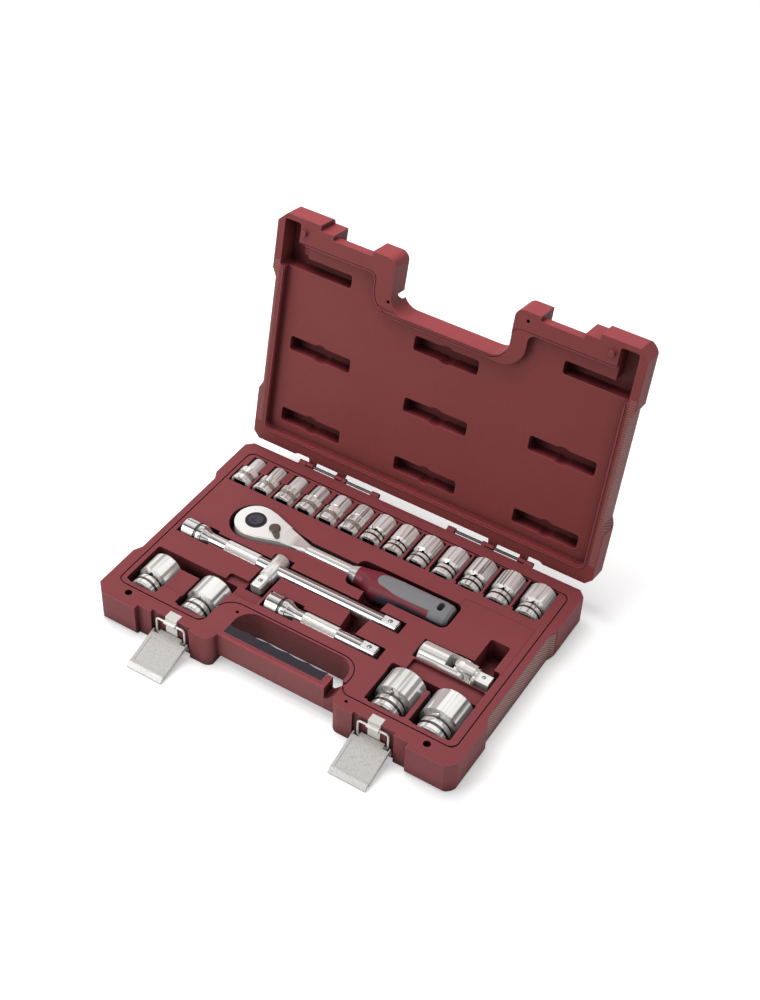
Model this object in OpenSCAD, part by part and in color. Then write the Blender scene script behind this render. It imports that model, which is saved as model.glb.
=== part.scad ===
// Socket wrench set in a hinged, blow-moulded carrying case: thirteen small
// and four large sockets, a reversible ratchet, two extension bars, a sliding
// T piece and a universal joint, each lying in its own bed in the base.
// Millimetres. +X runs to the right, +Y to the hinges, +Z up. The origin is
// the centre of the base's underside. The lid is drawn open.

/* [Case] */
// Width of the case
case_w = 395; // [390:1:420]
// Depth of the case, front to back, without the hinges
case_d = 256; // [254:1:270]
// Height of the base, table to rim
base_h = 37; // [36.5:0.5:42]
// Height of the lid above the rim
lid_h = 26.5; // [25:0.5:34]
// Cut across each front corner
front_cut = 10; // [6:1:14]
// Cut across each back corner
back_cut = 7; // [4:1:10]
// Rounding of the long outer edges
edge_r = 5; // [3:0.5:7]
// Depth of the waist in each end face
waist = 4.5; // [2:0.5:5]
// Front face of the corner blocks to that of the latch pods
pod_step = 5.5; // [4:0.5:6]
// Gap between the closed lid and the base
rim_gap = 0.3; // [0.2:0.1:0.6]
// Depth of the panel inside the lid, below the lid's rim
panel_depth = 7.5; // [7.2:0.1:9]
// Wall left under the deepest bed and over the lid's deepest slot
skin = 1.6; // [1.4:0.1:2]

/* [Hinges] */
// How far the lid stands open
lid_angle = 101.5; // [95:0.5:115]
// Hinge rod diameter
rod_d = 3; // [2.5:0.1:3.2]
// Distance from the back face to the rod
rod_back = 4.7; // [4.6:0.1:6]
// Depth of the rod below the rim
rod_drop = 1.8; // [1:0.1:3]
// Outside diameter of the knuckles
knuckle_d = 5.8; // [5.6:0.1:6.4]
// Radial play of the rod in the lid's knuckles
rod_play = 0.06; // [0.03:0.01:0.1]

/* [Handle] */
// Half length of the hand opening
hand_half = 62.5; // [58:0.5:63]
// Width of the hand opening, front to back
hand_w = 25.5; // [24:0.5:27]
// Width of the grip bar, front to back
bar_w = 15.5; // [14:0.5:16]
// Height of the underside of the grip bar
bar_lift = 8.5; // [6:0.5:12]
// Width of the rubber pad's seat in the grip bar
pad_w = 10; // [8:0.5:10.5]
// Thickness of the rubber pad
pad_t = 8; // [5:0.5:10]

/* [Latches] */
// Distance of each latch from the middle
latch_x = 112; // [110:0.5:113]
// Width of the latch lever
lever_w = 39.5; // [37:0.5:41]
// Length of the latch lever from its hinge
lever_l = 44.8; // [42:0.2:46]
// Sheet thickness of strap and lever
sheet = 1.2; // [1:0.1:1.3]
// Wire diameter of the bail
wire_d = 2.2; // [2:0.1:2.3]
// Height of the bail between its two bars
bail_h = 19.3; // [18:0.1:19.5]
// Width of the bail between its two legs
bail_w = 32; // [30:0.5:33]
// Width of the strap
strap_w = 13; // [10:0.5:15]
// Slope of the lever as it lies open
lever_slope = 16; // [15:0.5:17]

/* [Tools] */
// Side of the square drive
drive = 12.7; // [12.3:0.05:12.75]
// Height of the tool tops above the rim
tool_rise = 5.6; // [4:0.1:6.4]
// Height of the large socket tops above the rim
big_rise = 6.7; // [6:0.1:6.8]
// Land between neighbouring sockets in the back row
row_gap = 2.8; // [2.4:0.1:3]
// Play between a tool and its bed
bed_gap = 0.3; // [0.2:0.05:0.4]
// Room in front of the female end of a tool in its bed
end_gap = 3.6; // [3:0.1:4]
// Shaft diameter of the extension bars
shaft_d = 13.5; // [13:0.1:14]
// Diameter of the female ends of the extension bars
cup_d = 22; // [21:0.1:22.4]
// Length of the long extension bar
long_l = 246; // [240:1:248]
// Length of the short extension bar
short_l = 121; // [116:1:122]
// Length of the knurled band on the bars
knurl_l = 38; // [30:1:40]
// Diameter of the sliding T piece
tee_d = 17; // [16.4:0.1:17.4]
// Diameter of the universal joint
joint_d = 24.4; // [23.6:0.1:25]
// Diameter of the detent balls
ball_d = 4.6; // [4:0.1:5]

/* [Ratchet] */
// Radius of the ratchet head
head_r = 21.5; // [20.5:0.1:22.5]
// Thickness of the ratchet head
head_t = 21; // [20.5:0.1:22]
// Diameter of the ratchet's shank
shank_d = 14; // [13:0.1:15]
// Teeth on the drive gear
gear_teeth = 36; // [30:2:45]
// Diameter over the gear's teeth
gear_d = 30; // [29:0.1:31]
// Length of the grip
grip_l = 104; // [98:1:106]
// Width of the grip at its end
grip_w = 28; // [26:0.5:30]
// Thickness of the grip
grip_t = 24; // [22:0.5:24.5]

/* [Hidden] */
$fn = 64;
eps = 0.01;

// Case outline
half_w = case_w / 2;
front_y = -case_d / 2;
back_y = case_d / 2;
pod_y = front_y + pod_step;
waist_front = -67;
waist_back = 70;
waist_ramp = 9;
pod_out = 149;                      // outer end of each latch pod
pod_in = 66;                        // inner end of each latch pod
pod_r = 9;

// Hand opening and grip bar
bar_front = front_y + 17;
bar_back = bar_front + bar_w;
hand_back = bar_back + hand_w;
hand_r = 18;
under_r = 6.5;                      // rounding under the hand opening
pad_left = -hand_half;
pad_right = 46;
bar_slot = [52.7, 66];              // slot at the right end of the grip bar
bar_slot_depth = 14;

// Latch recess, strap and bail
recess_half = 22;
recess_y = front_y + 9;             // wall behind the strap in the base
lid_recess_y = front_y + 10.5;
catch_y = front_y + 20;             // wall behind the catch in the lid
catch_h = 10.5;                     // height of the catch above the rim
wire_play = 0.07;
roll_r = wire_d / 2 + wire_play + sheet;
bail_y = recess_y - roll_r - 0.1;
bail_z = base_h - 5.5;
lever_y = bail_y;
lever_z = bail_z - bail_h;
lever_off = roll_r + 0.35;          // hinge axis to the lever's inner face
flange_h = 2.6;
tab_l = 7.5;                        // strap's tab in the rim
hook_l = 6;                         // reach of the lever hooks behind the hinge axis

// Hinge
hinge_y = back_y + rod_back;
hinge_z = base_h - rod_drop;
knuckles_base = [[40.5, 49], [80, 84], [127.8, 136.5]];
knuckles_lid = [[84.5, 93], [120, 127.3]];
rod_ends = [41, 136];

// Ring groove in the base's rim and bead on the lid
field_left = -186;
field_right = 187;
field_front = front_y + 20.5;
field_back = back_y - 13;
field_r = 8;
notch_left = -86;
notch_right = 66;
notch_y = hand_back + 1.5;
notch_r = 19;
groove_w = 1.6;
groove_d = 1.6;
bead_w = 1;

// Panel inside the lid
panel_left = -184;
panel_right = 185;
panel_front = front_y + 27;
panel_back = back_y - 16;
panel_notch_left = -84;
panel_notch_right = 81;
panel_notch_y = hand_back + 8;
panel_notch_r = 24;
lid_notch = 64;                     // half width of the lid's notch for the hand
peg_x = [-166, 163];
peg_y = front_y + 13.5;
pin_holes = [[-66, -78], [78, -113]];

// Heights of the tools
row_y = back_y - 56.5;              // front ends of the back row
large_y = front_y + 27.5;           // front ends of the large sockets
bar_z = base_h - 4;                 // axis of the extension bars
long_x = -176.5;
long_y = -10;
short_x = -51;
short_y = front_y + 80;
tee_x = -70.5;
tee_l = 29.5;
joint_x = 102;
joint_y = -21;
joint_z = base_h - 5.2;
head_x = -120.5;
head_y = 30.5;
head_z = base_h - 6.5;              // axis of the ratchet

// Detent balls
ball_out = 1.1;                     // how far a ball stands out of its face
ball_travel = 1.3;                  // room behind the ball
ball_play = 0.05;
ball_sink = ball_d / 2 - ball_out;  // ball centre below the face
ball_at = drive / 2 - 0.1 - ball_sink;
ball_back = 8.5;                    // ball from the end of the square
stake = 0.3;

/* ---- helpers ---- */

module rrect(x0, x1, y0, y1, r) {
  translate([x0 + r, y0]) square([x1 - x0 - 2 * r, y1 - y0]);
  translate([x0, y0 + r]) square([x1 - x0, y1 - y0 - 2 * r]);
  for (x = [x0 + r, x1 - r])
    for (y = [y0 + r, y1 - r])
      translate([x, y]) circle(r);
}

// Quarter of a square less its circle: added it fills, cut it rounds
module corner_web(x, y, r, sx, sy) {
  translate([x, y])
    mirror([sx < 0 ? 1 : 0, 0])
      mirror([0, sy < 0 ? 1 : 0])
        difference() {
          translate([-eps, -eps]) square(r + eps);
          translate([r, r]) circle(r);
        }
}

module both_sides() {
  children();
  mirror([1, 0, 0]) children();
}

// Places the closed lid's geometry where the open lid is
module opened() {
  translate([0, hinge_y, hinge_z])
    rotate([-lid_angle, 0, 0])
      translate([0, -hinge_y, -hinge_z]) children();
}

// Bed for a round tool along +X from the origin, open above
module bed(r, l, up = 60) {
  rotate([0, 90, 0]) cylinder(r = r, h = l);
  translate([0, -r, 0]) cube([l, 2 * r, up]);
}

module square_bar(side, l, c = 0.7) {
  // square along +X with its four long edges broken
  intersection() {
    translate([0, -side / 2, -side / 2]) cube([l, side, side]);
    rotate([45, 0, 0])
      translate([-1, -side / sqrt(2) + c / sqrt(2), -side / sqrt(2) + c / sqrt(2)])
        cube([l + 2, side * sqrt(2) - c * sqrt(2), side * sqrt(2) - c * sqrt(2)]);
  }
}

/* ---- case ---- */

// Plan of both halves, corners cut, end faces waisted
module plan() {
  difference() {
    polygon([
      [-half_w + front_cut, front_y], [half_w - front_cut, front_y],
      [half_w, front_y + front_cut], [half_w, back_y - back_cut],
      [half_w - back_cut, back_y], [-half_w + back_cut, back_y],
      [-half_w, back_y - back_cut], [-half_w, front_y + front_cut]
    ]);
    for (s = [-1, 1])
      polygon([
        [s * (half_w + 1), waist_front], [s * half_w, waist_front],
        [s * (half_w - waist), waist_front + waist_ramp],
        [s * (half_w - waist), waist_back - waist_ramp],
        [s * half_w, waist_back], [s * (half_w + 1), waist_back]
      ]);
    // pods stand back from the corner blocks
    translate([-pod_out, front_y - 1]) square([2 * pod_out, pod_step + 1]);
  }
}

// Solid between z0 and z1 whose outer long edges are rounded at the bottom
module rounded_block(h, r) {
  intersection() {
    linear_extrude(h) children();
    rotate([90, 0, 90]) linear_extrude(case_w + 2, center = true) edge_profile(case_d, h, r);
    rotate([90, 0, 0]) linear_extrude(case_d + 2, center = true) edge_profile(case_w, h, r);
  }
}

module edge_profile(w, h, r) {
  translate([-w / 2, r]) square([w, h - r]);
  translate([-w / 2 + r, 0]) square([w - 2 * r, r + eps]);
  for (x = [-w / 2 + r, w / 2 - r]) translate([x, r]) circle(r);
}

module hand_hole() {
  intersection() {
    rrect(-hand_half, hand_half, hand_back - 40, hand_back, hand_r);
    translate([-hand_half, bar_back]) square([2 * hand_half, hand_w]);
  }
}

// Slot at the end of the grip bar; its far side ramps up to the pod
module bar_slot() {
  floor_z = base_h - bar_slot_depth;
  translate([0, bar_back + 1, 0]) rotate([90, 0, 0]) linear_extrude(bar_back - front_y + 2)
    difference() {
      polygon([
        [bar_slot[0], base_h + 1], [bar_slot[0], floor_z], [bar_slot[0] + 2.4, floor_z],
        [bar_slot[1], base_h - 2], [bar_slot[1], base_h + 1]
      ]);
      translate([bar_slot[0] - 1, floor_z - 1]) square([1, 1]);
    }
}

// Rounding under the back edge of the hand opening
module hand_hole_round() {
  straight = hand_half - hand_r;
  translate([-straight, 0, 0]) rotate([90, 0, 90]) linear_extrude(2 * straight)
    corner_web(hand_back, 0, under_r, 1, 1);
  for (s = [-1, 1])
    translate([s * straight, hand_back - hand_r, 0]) rotate(s > 0 ? 0 : 90)
      rotate_extrude(angle = 90) corner_web(hand_r, 0, under_r, 1, 1);
}

// Front of the case between the pods, back to line y
module front_bay(y, half) {
  translate([-half, front_y - 1]) square([2 * half, y - front_y + 1]);
  both_sides() corner_web(-half, pod_y, pod_r, -1, 1);
}

// The area that the lid's bead encloses, inset by d
module field(d) {
  difference() {
    rrect(field_left + d, field_right - d, field_front + d, field_back - d, field_r);
    rrect(notch_left - d, notch_right + d, front_y - 60, notch_y + d, notch_r + d);
    corner_web(notch_left - d, field_front + d, field_r, -1, 1);
    corner_web(notch_right + d, field_front + d, field_r, 1, 1);
  }
}

module field_ring(d0, d1) {
  difference() {
    field(d0);
    field(d1);
  }
}

/* ---- sockets ---- */

SMALL = [10, 11, 12, 13, 14, 15, 16, 17, 18, 19, 20, 21, 22];
LARGE = [24, 27, 30, 32];
LARGE_X = [-161.5, -104.5, 108.5, 156.5];

function hex_end_d(s) = 1.18 * s + 4;
function drive_end_d(s) = max(23, 0.72 * s + 9.5);
function socket_d(s) = max(hex_end_d(s), drive_end_d(s));
function socket_l(s) = s < 20 ? 38 : s < 24 ? 40 : 42 + 0.75 * (s - 24);

// Middle of socket number i in the back row, counted from the left
function row_run(i) = i == 0 ? 0 :
  row_run(i - 1) + (socket_d(SMALL[i - 1]) + socket_d(SMALL[i])) / 2 + row_gap;
function row_x(i) = row_run(i) - row_run(len(SMALL) - 1) / 2 - 4.5;
function row_z(s) = base_h + tool_rise - socket_d(s) / 2;
function large_z(s) = base_h + big_rise - socket_d(s) / 2;

// Twelve-point hole across flats af
module twelve_point(af) {
  for (a = [0, 30]) rotate(a) circle(d = af / cos(30), $fn = 6);
}

// Socket along +Z from its drive end
module socket(s) {
  l = socket_l(s);
  rd = drive_end_d(s) / 2;
  rh = hex_end_d(s) / 2;
  hex_deep = 0.42 * l;
  difference() {
    rotate_extrude() if (s < 16) small_profile(rd, rh, l);
      else large_profile(rd, rh, l);
    translate([-drive / 2 - 0.05, -drive / 2 - 0.05, -1]) cube([drive + 0.1, drive + 0.1, 17]);
    translate([0, 0, l - hex_deep]) linear_extrude(hex_deep + 1) twelve_point(s + 0.15);
    cylinder(d = min(0.9 * s, drive - 0.7), h = l + 1);
    // cross hole for the detent ball
    if (s >= 16)
      translate([0, 0, 0.3 * l + 1.6]) rotate([0, 90, 0]) cylinder(d = ball_d, h = rd + 1, $fn = 32);
  }
}

// Wide drive end with a sunk band, then a step down to the hex end
module small_profile(rd, rh, l) {
  polygon([
    [0, 0], [rd - 1.4, 0], [rd, 1.4], [rd, 6], [rd - 0.5, 6.4], [rd - 0.5, 11.6], [rd, 12],
    [rd, 18.4], [rd - 1.2, 19.6], [min(rd, rh) - 0.4, 20.2], [min(rd, rh) - 0.4, 21],
    [rh, 21.4], [rh, l - 1.2], [rh - 1.2, l], [0, l]
  ]);
}

// Short collar, waist, and a cone up to the hex end
module large_profile(rd, rh, l) {
  c = 0.3 * l;
  polygon([
    [0, 0], [rd - 1.4, 0], [rd, 1.4], [rd, 0.4 * c], [rd - 0.4, 0.4 * c + 0.3],
    [rd - 0.4, 0.6 * c], [rd, 0.6 * c + 0.3], [rd, c - 1], [rd - 0.8, c],
    [rd - 1.8, c + 0.3], [rd - 1.8, c + 3], [rh, c + 5.4], [rh, l - 1.4], [rh - 1.4, l], [0, l]
  ]);
}

// Lays a socket on its bed with its drive end to the front
module laid(x, y, z) {
  translate([x, y, z]) rotate([-90, 0, 0]) rotate(-90) children();
}

module row_socket(i) {
  color("silver") laid(row_x(i), row_y, row_z(SMALL[i])) socket(SMALL[i]);
}

module large_socket(i) {
  color("silver") laid(LARGE_X[i], large_y, large_z(LARGE[i])) socket(LARGE[i]);
}

// Stepped bed: wide for the drive end, narrower where the hex end is
module socket_bed(x, y, z, s, front) {
  collar = s < 16 ? 22 : 0.3 * socket_l(s);
  wide = socket_d(s) / 2 + bed_gap;
  translate([x, y - front, z]) rotate(90)
    bed(s < 19 ? wide : drive_end_d(s) / 2 + bed_gap, front + collar);
  translate([x, y, z]) rotate(90) bed(hex_end_d(s) / 2 + bed_gap, socket_l(s) + 1.4);
}

/* ---- base ---- */

module tool_beds() {
  for (i = [0 : len(SMALL) - 1]) socket_bed(row_x(i), row_y, row_z(SMALL[i]), SMALL[i], end_gap);
  for (i = [0 : len(LARGE) - 1]) socket_bed(LARGE_X[i], large_y, large_z(LARGE[i]), LARGE[i], 1.4);
  // wells beside the large sockets, and the finger trenches behind them
  translate([0, 0, 14]) linear_extrude(40) {
    rrect(LARGE_X[0] - 18.5, LARGE_X[1] + 18.5, large_y + 39.5, large_y + 52.5, 3);
    rrect(LARGE_X[2] - 20.5, LARGE_X[3] + 21.5, large_y + 38.5, large_y + 50.5, 3);
    rrect(LARGE_X[0] - 18.5, LARGE_X[0] + 3.5, large_y - 0.5, large_y + 50.5, 3);
    rrect(LARGE_X[1] - 18, LARGE_X[1] - 5.5, large_y + 0.5, large_y + 50.5, 3);
    rrect(LARGE_X[2] + 11.5, LARGE_X[2] + 22.5, large_y - 0.5, large_y + 48.5, 3);
    rrect(LARGE_X[3] - 20.5, LARGE_X[3] + 21.5, large_y - 0.5, large_y + 48.5, 3);
  }
  // block between the left pair, a little lower than the rim
  translate([LARGE_X[0] + 15.5, large_y + 10.5, base_h - 2.2]) cube([30, 40, 10]);
  // lower platforms round the finger trenches
  translate([0, 0, base_h - 4]) linear_extrude(10) {
    rrect(LARGE_X[1] + 3.5, LARGE_X[1] + 47.5, large_y + 38.5, large_y + 61.5, 2.5);
    rrect(LARGE_X[2] - 6.5, LARGE_X[3] + 21.5, large_y + 48.5, large_y + 65.5, 2.5);
  }
  // long bar
  translate([long_x - end_gap, long_y, bar_z]) bed(cup_d / 2 + bed_gap, 34 + end_gap);
  translate([long_x + 20, long_y, bar_z]) bed(shaft_d / 2 + 1.4, long_l - 15);
  // short bar
  translate([short_x - end_gap, short_y, bar_z]) bed(cup_d / 2 + bed_gap, 34 + end_gap);
  translate([short_x + 20, short_y, bar_z]) bed(shaft_d / 2 + 1.4, short_l - 15);
  // sliding T piece
  translate([tee_x + 2, long_y - 37, bar_z]) rotate(90) bed(tee_d / 2 + 3, 53);
  // universal joint
  translate([joint_x - end_gap, joint_y, joint_z]) bed(joint_d / 2 + bed_gap, 48 + end_gap);
  translate([joint_x + 30, joint_y - 13.5, joint_z - 12]) linear_extrude(60) rrect(0, 46, 0, 27, 2);
  // finger wells
  translate([0, 0, 12]) linear_extrude(40) {
    polygon([[18, long_y + 24], [46, long_y + 24], [41, short_y + 8], [24, short_y + 8]]);
    rrect(joint_x + 48, joint_x + 69, joint_y + 7, joint_y + 46, 2.5);
  }
  ratchet_bed();
}

module ratchet_bed() {
  translate([head_x, head_y, head_z - head_t / 2 - bed_gap])
    linear_extrude(60) {
      translate([-2, 0]) circle(head_r + 3.6);
      polygon([
        [-2, head_r + 3.6], [14, 21], [30, 15.5], [44, 11.6], [60, 9.2],
        [60, -9.2], [44, -12], [30, -17], [14, -22.5], [-2, -head_r - 3.6]
      ]);
    }
  // room under the head for the square drive
  translate([head_x, head_y, head_z - head_t / 2 - 17]) cylinder(d = drive * 1.45 + 3, h = 30);
  translate([head_x + 20, head_y, head_z]) bed(shank_d / 2 + 1.4, 105);
  translate([-6, head_y - 20, head_z - grip_t / 2 - bed_gap]) linear_extrude(60)
    rrect(0, grip_l + 10, 0, 37, 8);
}

module base_shell() {
  color("#8a4648") {
    difference() {
      rounded_block(base_h, edge_r) difference() {
        plan();
        hand_hole();
        front_bay(bar_front, pod_in);
        both_sides() translate([latch_x - recess_half, front_y - 1])
          square([2 * recess_half, recess_y - front_y + 1]);
      }
      // finger space under the grip bar
      translate([-pod_in - 1, front_y - 1, -1]) cube([2 * pod_in + 2, bar_back - front_y + 1, bar_lift + 1]);
      // seat of the rubber pad and the slot beside it
      translate([pad_left - eps, bar_back - pad_w, base_h - pad_t])
        cube([pad_right - pad_left + eps, pad_w + 1, pad_t + 1]);
      bar_slot();
      hand_hole_round();
      // groove for the lid's bead
      translate([0, 0, base_h - groove_d]) linear_extrude(groove_d + 1) field_ring(0, groove_w);
      tool_beds();
      // holes for the lid's locating pegs
      for (x = peg_x) translate([x, peg_y, base_h - 6]) cylinder(d = 7.5, h = 7);
      for (p = pin_holes) translate([p[0], p[1], base_h - 4]) cylinder(d = 3.6, h = 5, $fn = 32);
      // seats of the latch straps' tabs
      both_sides() translate([latch_x - strap_w / 2 - 0.1, recess_y - 1, base_h - sheet])
        cube([strap_w + 0.2, tab_l + 1.1, sheet + 1]);
      both_sides() strap_rivet_pair();
    }
    both_sides() for (k = knuckles_base) base_knuckle(k[0], k[1]);
  }
}

module base_knuckle(x0, x1) {
  difference() {
    translate([x0, 0, 0]) rotate([90, 0, 90]) linear_extrude(x1 - x0) {
      translate([hinge_y, hinge_z]) circle(d = knuckle_d);
      polygon([
        [back_y - 1, base_h - 0.2], [hinge_y, base_h - 0.2], [hinge_y + 1, hinge_z],
        [hinge_y, hinge_z - knuckle_d / 2], [back_y - 1, hinge_z - knuckle_d / 2 - 4]
      ]);
    }
    translate([x0 - 1, hinge_y, hinge_z]) rotate([0, 90, 0]) cylinder(d = rod_d, h = x1 - x0 + 2);
  }
}

module grip_bar_pad() {
  wave = 22;
  wave_r = 44;
  color("#413c46")
    difference() {
      translate([pad_left, bar_back - pad_w, base_h - pad_t])
        cube([pad_right - pad_left, pad_w + 1.5, pad_t]);
      // finger waves along the inner edge
      for (i = [0 : 4])
        translate([pad_left + 10 + i * wave, bar_back + wave_r + 0.1, base_h - pad_t - 1])
          cylinder(r = wave_r, h = pad_t + 2, $fn = 128);
    }
}

module hinge_rod(s) {
  color("dimgray")
    mirror([s < 0 ? 1 : 0, 0, 0])
      translate([rod_ends[0], hinge_y, hinge_z]) rotate([0, 90, 0])
        cylinder(d = rod_d, h = rod_ends[1] - rod_ends[0], $fn = 32);
}

/* ---- lid ---- */

// Slot that pinches the lid's two skins together
module pinch_slot(x, y) {
  translate([x, y]) {
    rrect(-35.5, 35.5, -8, 8, 3);
    circle(10);
  }
}

module lid_plan() {
  difference() {
    union() {
      plan();
      // lip that reaches towards the hinge rod
      both_sides() translate([knuckles_lid[0][0], back_y - 1])
        square([knuckles_lid[1][1] - knuckles_lid[0][0], 3.2]);
    }
    front_bay(hand_back + 3, lid_notch);
    both_sides() {
      translate([latch_x - recess_half, front_y - 1])
        square([2 * recess_half, lid_recess_y - front_y + 1]);
      // back edge set in beside the hinge
      translate([-1, back_y - 2.2]) square([knuckles_lid[0][0] + 0.6, 5]);
      polygon([
        [knuckles_lid[1][1] + 0.3, back_y + 3], [knuckles_lid[1][1] + 0.3, back_y - 2.2],
        [141, back_y - 2.2], [147, back_y + 1], [147, back_y + 3]
      ]);
    }
  }
  both_sides() corner_web(lid_notch, hand_back + 3, hand_r, -1, -1);
}

// Panel outline, inset by d, with the right side of its notch at x
module panel_outline(d, x = panel_notch_right) {
  difference() {
    rrect(panel_left + d, panel_right - d, panel_front + d, panel_back - d, field_r);
    rrect(panel_notch_left - d, x + d, front_y - 60, panel_notch_y + d, panel_notch_r + d);
    corner_web(panel_notch_left - d, panel_front + d, field_r, -1, 1);
    corner_web(x + d, panel_front + d, field_r, 1, 1);
  }
}

module lid_shell() {
  lid_z = base_h + rim_gap;
  slot_top = lid_z + lid_h - skin - 1;
  color("#7c403f")
    opened() {
      difference() {
        translate([0, 0, lid_z + lid_h]) mirror([0, 0, 1]) rounded_block(lid_h, edge_r) lid_plan();
        translate([0, 0, lid_z - 1]) linear_extrude(panel_depth + 1) panel_outline(0);
        // fine groove round the front of the panel
        translate([0, 0, lid_z - 1]) linear_extrude(1.8) intersection() {
          difference() {
            panel_outline(-2, 66);
            panel_outline(-1.1, 66);
          }
          translate([-half_w, front_y]) square([case_w, panel_notch_y + 2 - front_y]);
        }
        // pinched slots and corner pockets
        translate([0, 0, lid_z - 1]) linear_extrude(slot_top - lid_z + 1) {
          for (x = [-136, 136]) for (v = [35, 118]) pinch_slot(x, back_y - v);
          for (v = [35, 103, 171.5]) pinch_slot(0, back_y - v);
          rrect(-189.5, -171, back_y - 250.5, back_y - 200, 3);
          rrect(-189.5, -112, back_y - 214, back_y - 200, 3);
          rrect(169.5, 188.5, back_y - 250.5, back_y - 200, 3);
          rrect(118, 188.5, back_y - 214, back_y - 200, 3);
        }
        translate([0, 0, lid_z - 1]) linear_extrude(15) rrect(-176, -163, back_y - 230, back_y - 210, 3);
        // deeper recess that leaves a ledge for the latch hooks
        both_sides() translate([latch_x - recess_half, front_y - 1, lid_z + catch_h])
          cube([2 * recess_half, catch_y - front_y + 1, lid_h]);
        // pin holes; the left one opens to the outside
        for (p = pin_holes) translate([p[0], p[1], lid_z - 1]) cylinder(d = 3.6, h = 8, $fn = 32);
        translate([pin_holes[0][0], pin_holes[0][1], lid_z + 14]) cylinder(r = 5, h = 20);
      }
      // bead round the sides and back
      translate([0, 0, lid_z - 1.1]) linear_extrude(1.1 + eps) intersection() {
        field_ring(0.3, 0.3 + bead_w);
        translate([-half_w, back_y - 198]) square([case_w, 198]);
      }
      for (x = peg_x) translate([x, peg_y, lid_z - 3.5]) cylinder(d1 = 5.5, d2 = 6.6, h = 3.6);
      both_sides() for (k = knuckles_lid) lid_knuckle(k[0], k[1]);
    }
}

module lid_knuckle(x0, x1) {
  lid_z = base_h + rim_gap;
  top = lid_z + 7;
  difference() {
    translate([x0, 0, 0]) rotate([90, 0, 90]) linear_extrude(x1 - x0) {
      translate([hinge_y, hinge_z]) circle(d = knuckle_d);
      polygon([
        [back_y - 1, lid_z], [hinge_y - 2, lid_z], [hinge_y - knuckle_d / 2, hinge_z],
        [hinge_y + knuckle_d / 2, hinge_z], [hinge_y + knuckle_d / 2, lid_z + 2],
        [back_y + 2, top], [back_y - 1, top]
      ]);
    }
    translate([x0 - 1, hinge_y, hinge_z]) rotate([0, 90, 0])
      cylinder(d = rod_d + 2 * rod_play, h = x1 - x0 + 2);
  }
}

/* ---- latches ---- */

module strap_rivet_pair() {
  for (x = [-3.6, 3.6])
    translate([latch_x + x, recess_y + 4, base_h - 8]) cylinder(d = 2.4, h = 8, $fn = 32);
}

// Strip over the rim and down the recess, with a bulge round the bail
module latch_strap(s) {
  color("gainsboro")
    mirror([s < 0 ? 1 : 0, 0, 0])
      difference() {
        translate([latch_x - strap_w / 2, 0, 0]) rotate([90, 0, 90]) linear_extrude(strap_w)
          difference() {
            union() {
              translate([recess_y - sheet, base_h - sheet]) square([sheet + tab_l, sheet]);
              translate([recess_y - sheet, bail_z - 15]) square([sheet, base_h - bail_z + 15]);
              translate([bail_y, bail_z]) circle(roll_r);
            }
            translate([bail_y, bail_z]) circle(wire_d / 2 + wire_play);
            translate([recess_y, bail_z - roll_r - 1]) square([5, 2 * roll_r + 2]);
          }
        strap_rivet_pair();
      }
}

module strap_rivets() {
  color("silver") both_sides() strap_rivet_pair();
}

// Closed wire frame hanging from the strap
module bail_wire() {
  r = 3;
  w = bail_w / 2;
  for (z = [0, -bail_h])
    translate([-w + r, 0, z]) rotate([0, 90, 0]) cylinder(d = wire_d, h = bail_w - 2 * r, $fn = 32);
  for (x = [-w, w])
    translate([x, 0, -bail_h + r]) cylinder(d = wire_d, h = bail_h - 2 * r, $fn = 32);
  for (x = [-1, 1])
    for (z = [-r, -bail_h + r])
      translate([x * (w - r), 0, z]) rotate([90, 0, 0])
        rotate([0, 0, z == -r ? (x > 0 ? 0 : 90) : (x > 0 ? 270 : 180)])
          rotate_extrude(angle = 90) translate([r, 0]) circle(d = wire_d, $fn = 32);
}

module latch_bail(s) {
  color("whitesmoke")
    translate([s * latch_x, bail_y, bail_z]) bail_wire();
}

// Rolled hinge of the lever: x along the lever, y out of its face
module lever_roll() {
  difference() {
    union() {
      circle(roll_r);
      translate([-roll_r + 0.4, 0]) square([roll_r + 1, lever_off + sheet]);
      translate([0, lever_off]) square([4, sheet]);
    }
    circle(wire_d / 2 + wire_play);
  }
}

module latch_lever(s) {
  tube = bail_w - 7;
  lip = 6;
  fold = lever_l - lip;
  low = lever_off - flange_h;
  color("gainsboro")
    translate([s * latch_x, lever_y, lever_z])
      rotate([lever_slope, 0, 0])
        rotate([90, 0, -90]) {
          translate([0, 0, -tube / 2]) linear_extrude(tube) lever_roll();
          difference() {
            translate([0, 0, -lever_w / 2]) linear_extrude(lever_w)
              translate([3, lever_off]) square([fold - 3, sheet]);
            // face set in behind its border
            translate([7, lever_off + sheet - 0.4, -lever_w / 2 + 3.4]) cube([fold - 9.5, 1, lever_w - 6.8]);
          }
          // side flanges
          for (z = [-lever_w / 2, lever_w / 2 - sheet]) translate([0, 0, z]) linear_extrude(sheet) {
            translate([0, low]) square([fold, flange_h + eps]);
            translate([0, lever_off - 1]) square([3.4, sheet + 1]);
            // hook that bears on the lid's ledge
            translate([0, -hook_l]) square([2.4, hook_l + lever_off]);
          }
          // fold and thumb lip
          translate([0, 0, -lever_w / 2]) linear_extrude(lever_w)
            polygon([
              [fold - 1.6, lever_off + sheet - eps], [fold - 0.8, lever_off + sheet + 0.9],
              [fold + 0.8, lever_off + sheet + 0.9], [lever_l, lever_off - 0.6], [lever_l, low + 0.3],
              [lever_l - sheet, low + 0.3], [lever_l - sheet, lever_off - 1], [fold, lever_off]
            ]);
        }
}

/* ---- bars and joint ---- */

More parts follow.
